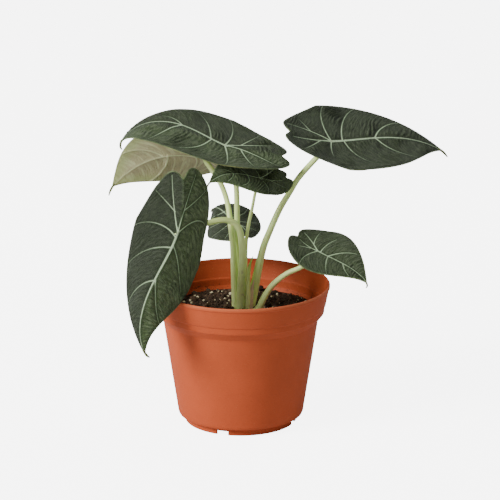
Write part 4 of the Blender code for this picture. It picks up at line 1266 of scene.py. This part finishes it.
class ALOCASIA_OT_mix(bpy.types.Operator):
    """Build the lumpy potting mix with its crumbs, bark and perlite"""

    bl_idname = "alocasia.mix"
    bl_label = "Potting Mix"

    def execute(self, context):
        look = context.scene.alocasia_mix
        chance = np.random.default_rng(look.seed)
        edge = RIM_RADIUS - MIX_INSET
        rows, columns = 132, 300
        turn = np.linspace(0, 2 * math.pi, columns + 1)
        ring = np.stack([np.cos(turn), np.sin(turn)], axis=1)
        ring[-1] = ring[0]
        radii = np.linspace(0.0, edge, rows)
        flat = radii[:, None, None] * ring[None]
        top = np.concatenate([flat, mix_height(flat[..., 0], flat[..., 1])[..., None]], axis=2)
        below = [
            (46.6, 66.4), (45.7, 64.5), (36.4, 8.0), (33.0, 6.6), (32.0, 4.6), (14.0, 4.6),
            (12.9, 33.0), (12.9, MIX_LEVEL - 6.6), (0.0, MIX_LEVEL - 6.6),
        ]
        wall = np.array([[(*(ray * radius), height) for ray in ring] for radius, height in below])
        points = np.concatenate([top, wall])
        mesh = solid_mesh("mix_bed", points.reshape(-1, 3) * MM, grid_quads(len(points), columns + 1))
        place_piece("mix_bed", mesh, [mix_material(look)], "potting_mix", "potting_mix")

        def spread(count, near, far):
            radius = np.sqrt(chance.uniform(near**2, far**2, count))
            angle = chance.uniform(0, 2 * math.pi, count)
            return np.stack([radius * np.cos(angle), radius * np.sin(angle)], axis=1)

        sizes = chance.gamma(3.2, 0.26, look.crumbs).clip(0.35, 2.3)
        stretch = chance.uniform(0.55, 1.25, (look.crumbs, 3))
        chips = chance.uniform(size=look.crumbs) < 0.16
        stretch[chips] *= (2.3, 1.1, 0.5)
        # No crumb reaches the wall: a long one lies further in, by its own half length and dents.
        places = spread(look.crumbs, 3.0, edge - 1.0)
        reach = sizes * stretch.max(axis=1) * 1.26
        radius = np.hypot(places[:, 0], places[:, 1])
        places *= (np.minimum(radius, edge - 0.6 - reach) / radius)[:, None]
        points, quads, each = scattered(chance, places, sizes, stretch, 0.26, 0.25)
        bright = chance.uniform(0.45, 1.0, look.crumbs)
        dull = chance.uniform(0.0, 0.5, look.crumbs) ** 1.5
        tone_and_painted_light = np.where(chips, bright, dull)
        mesh = solid_mesh("crumbs", points, quads, {"tone_and_painted_light": np.repeat(tone_and_painted_light, each)})
        place_piece("crumbs", mesh, [crumb_material(look)], "potting_mix")

        sizes = chance.gamma(4.0, 0.155, look.grains).clip(0.25, 1.15)
        stretch = chance.uniform(0.75, 1.15, (look.grains, 3))
        places = spread(look.grains, 11.0, edge - 1.5)
        points, quads, _ = scattered(chance, places, sizes, stretch, 0.16, 0.75)
        mesh = solid_mesh("perlite_grains", points, quads)
        grains = [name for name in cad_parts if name.startswith("perlite_")]
        place_piece("perlite_grains", mesh, [grain_material(look)], "perlite", *grains)
        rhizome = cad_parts["rhizome"].data
        rhizome.materials.clear()
        rhizome.materials.append(rhizome_material(look))
        return {"FINISHED"}


class ALOCASIA_OT_stage(bpy.types.Operator):
    """Set the floor, the soft studio light and the camera"""

    bl_idname = "alocasia.stage"
    bl_label = "Stage"

    def execute(self, context):
        look = context.scene.alocasia_stage
        reach = FLOOR_REACH
        mesh = bpy.data.meshes.new("floor")
        corners = [(-reach, -reach, 0), (reach, -reach, 0), (reach, reach, 0), (-reach, reach, 0)]
        mesh.from_pydata(corners, [], [(0, 1, 2, 3)])
        floor = bpy.data.objects.new("floor", mesh)
        mesh.materials.append(floor_material(look))
        context.scene.collection.objects.link(floor)

        low, high = CAD_BOX
        middle = (low + high) / 2
        for name, place, size, power, tint in (
            ("key", (-1.60, -0.92, 1.20), 0.9, look.key, (1.0, 0.985, 0.96)),
            ("rim", (0.9, 1.2, 1.3), 0.9, 0.10 * look.key, (1.0, 1.0, 1.0)),
        ):
            data = bpy.data.lights.new(name, "AREA")
            data.shape, data.size, data.energy, data.color = "DISK", size, power, tint
            lamp = bpy.data.objects.new(name, data)
            lamp.location = place
            lamp.rotation_euler = (middle - lamp.location).to_track_quat("-Z", "Y").to_euler()
            context.scene.collection.objects.link(lamp)

        world = bpy.data.worlds.new("studio")
        world.use_nodes = True
        tree = world.node_tree
        back = tree.nodes["Background"]
        back.inputs["Color"].default_value = (1.0, 1.0, 1.0, 1.0)
        back.inputs["Strength"].default_value = look.fill
        context.scene.world = world

        data = bpy.data.cameras.new("camera")
        data.sensor_width = 36.0
        data.lens = CAMERA_LENS
        camera = bpy.data.objects.new("camera", data)
        aim = np.array([length * MM for length in CAMERA_AIM])
        away = np.array([0.0, -math.cos(look.pitch), math.sin(look.pitch)]) * look.distance
        camera.location = aim + away
        camera.rotation_euler = (math.pi / 2 - look.pitch, 0.0, 0.0)
        context.scene.collection.objects.link(camera)
        context.scene.camera = camera
        return {"FINISHED"}


class ALOCASIA_PT_panel(bpy.types.Panel):
    """Lists the alocasia's settings and the steps that build it"""

    bl_idname = "ALOCASIA_PT_panel"
    bl_label = "Potted Alocasia"
    bl_space_type = "VIEW_3D"
    bl_region_type = "UI"
    bl_category = "Alocasia"

    def draw(self, context):
        for step in STEPS:
            self.layout.operator(step.bl_idname)
        for name, group in SETTINGS.items():
            box = self.layout.box()
            for setting in group.__annotations__:
                box.prop(getattr(context.scene, name), setting)


SETTINGS = {
    "alocasia_leaf": LeafSettings, "alocasia_stalk": StalkSettings, "alocasia_pot": PotSettings,
    "alocasia_mix": MixSettings, "alocasia_stage": StageSettings,
}
STEPS = (
    ALOCASIA_OT_effects, ALOCASIA_OT_stage, ALOCASIA_OT_pot, ALOCASIA_OT_mix, ALOCASIA_OT_stalks,
    ALOCASIA_OT_young_growth, ALOCASIA_OT_leaves,
)


def register():
    for cls in (*SETTINGS.values(), *STEPS, ALOCASIA_PT_panel):
        bpy.utils.register_class(cls)
    for name, group in SETTINGS.items():
        setattr(bpy.types.Scene, name, bpy.props.PointerProperty(type=group))


def unregister():
    for name in SETTINGS:
        delattr(bpy.types.Scene, name)
    for cls in reversed((*SETTINGS.values(), *STEPS, ALOCASIA_PT_panel)):
        bpy.utils.unregister_class(cls)


def main():
    register()
    for step in STEPS:
        getattr(bpy.ops.alocasia, step.bl_idname.split(".")[1])()


if __name__ == "__main__":
    main()
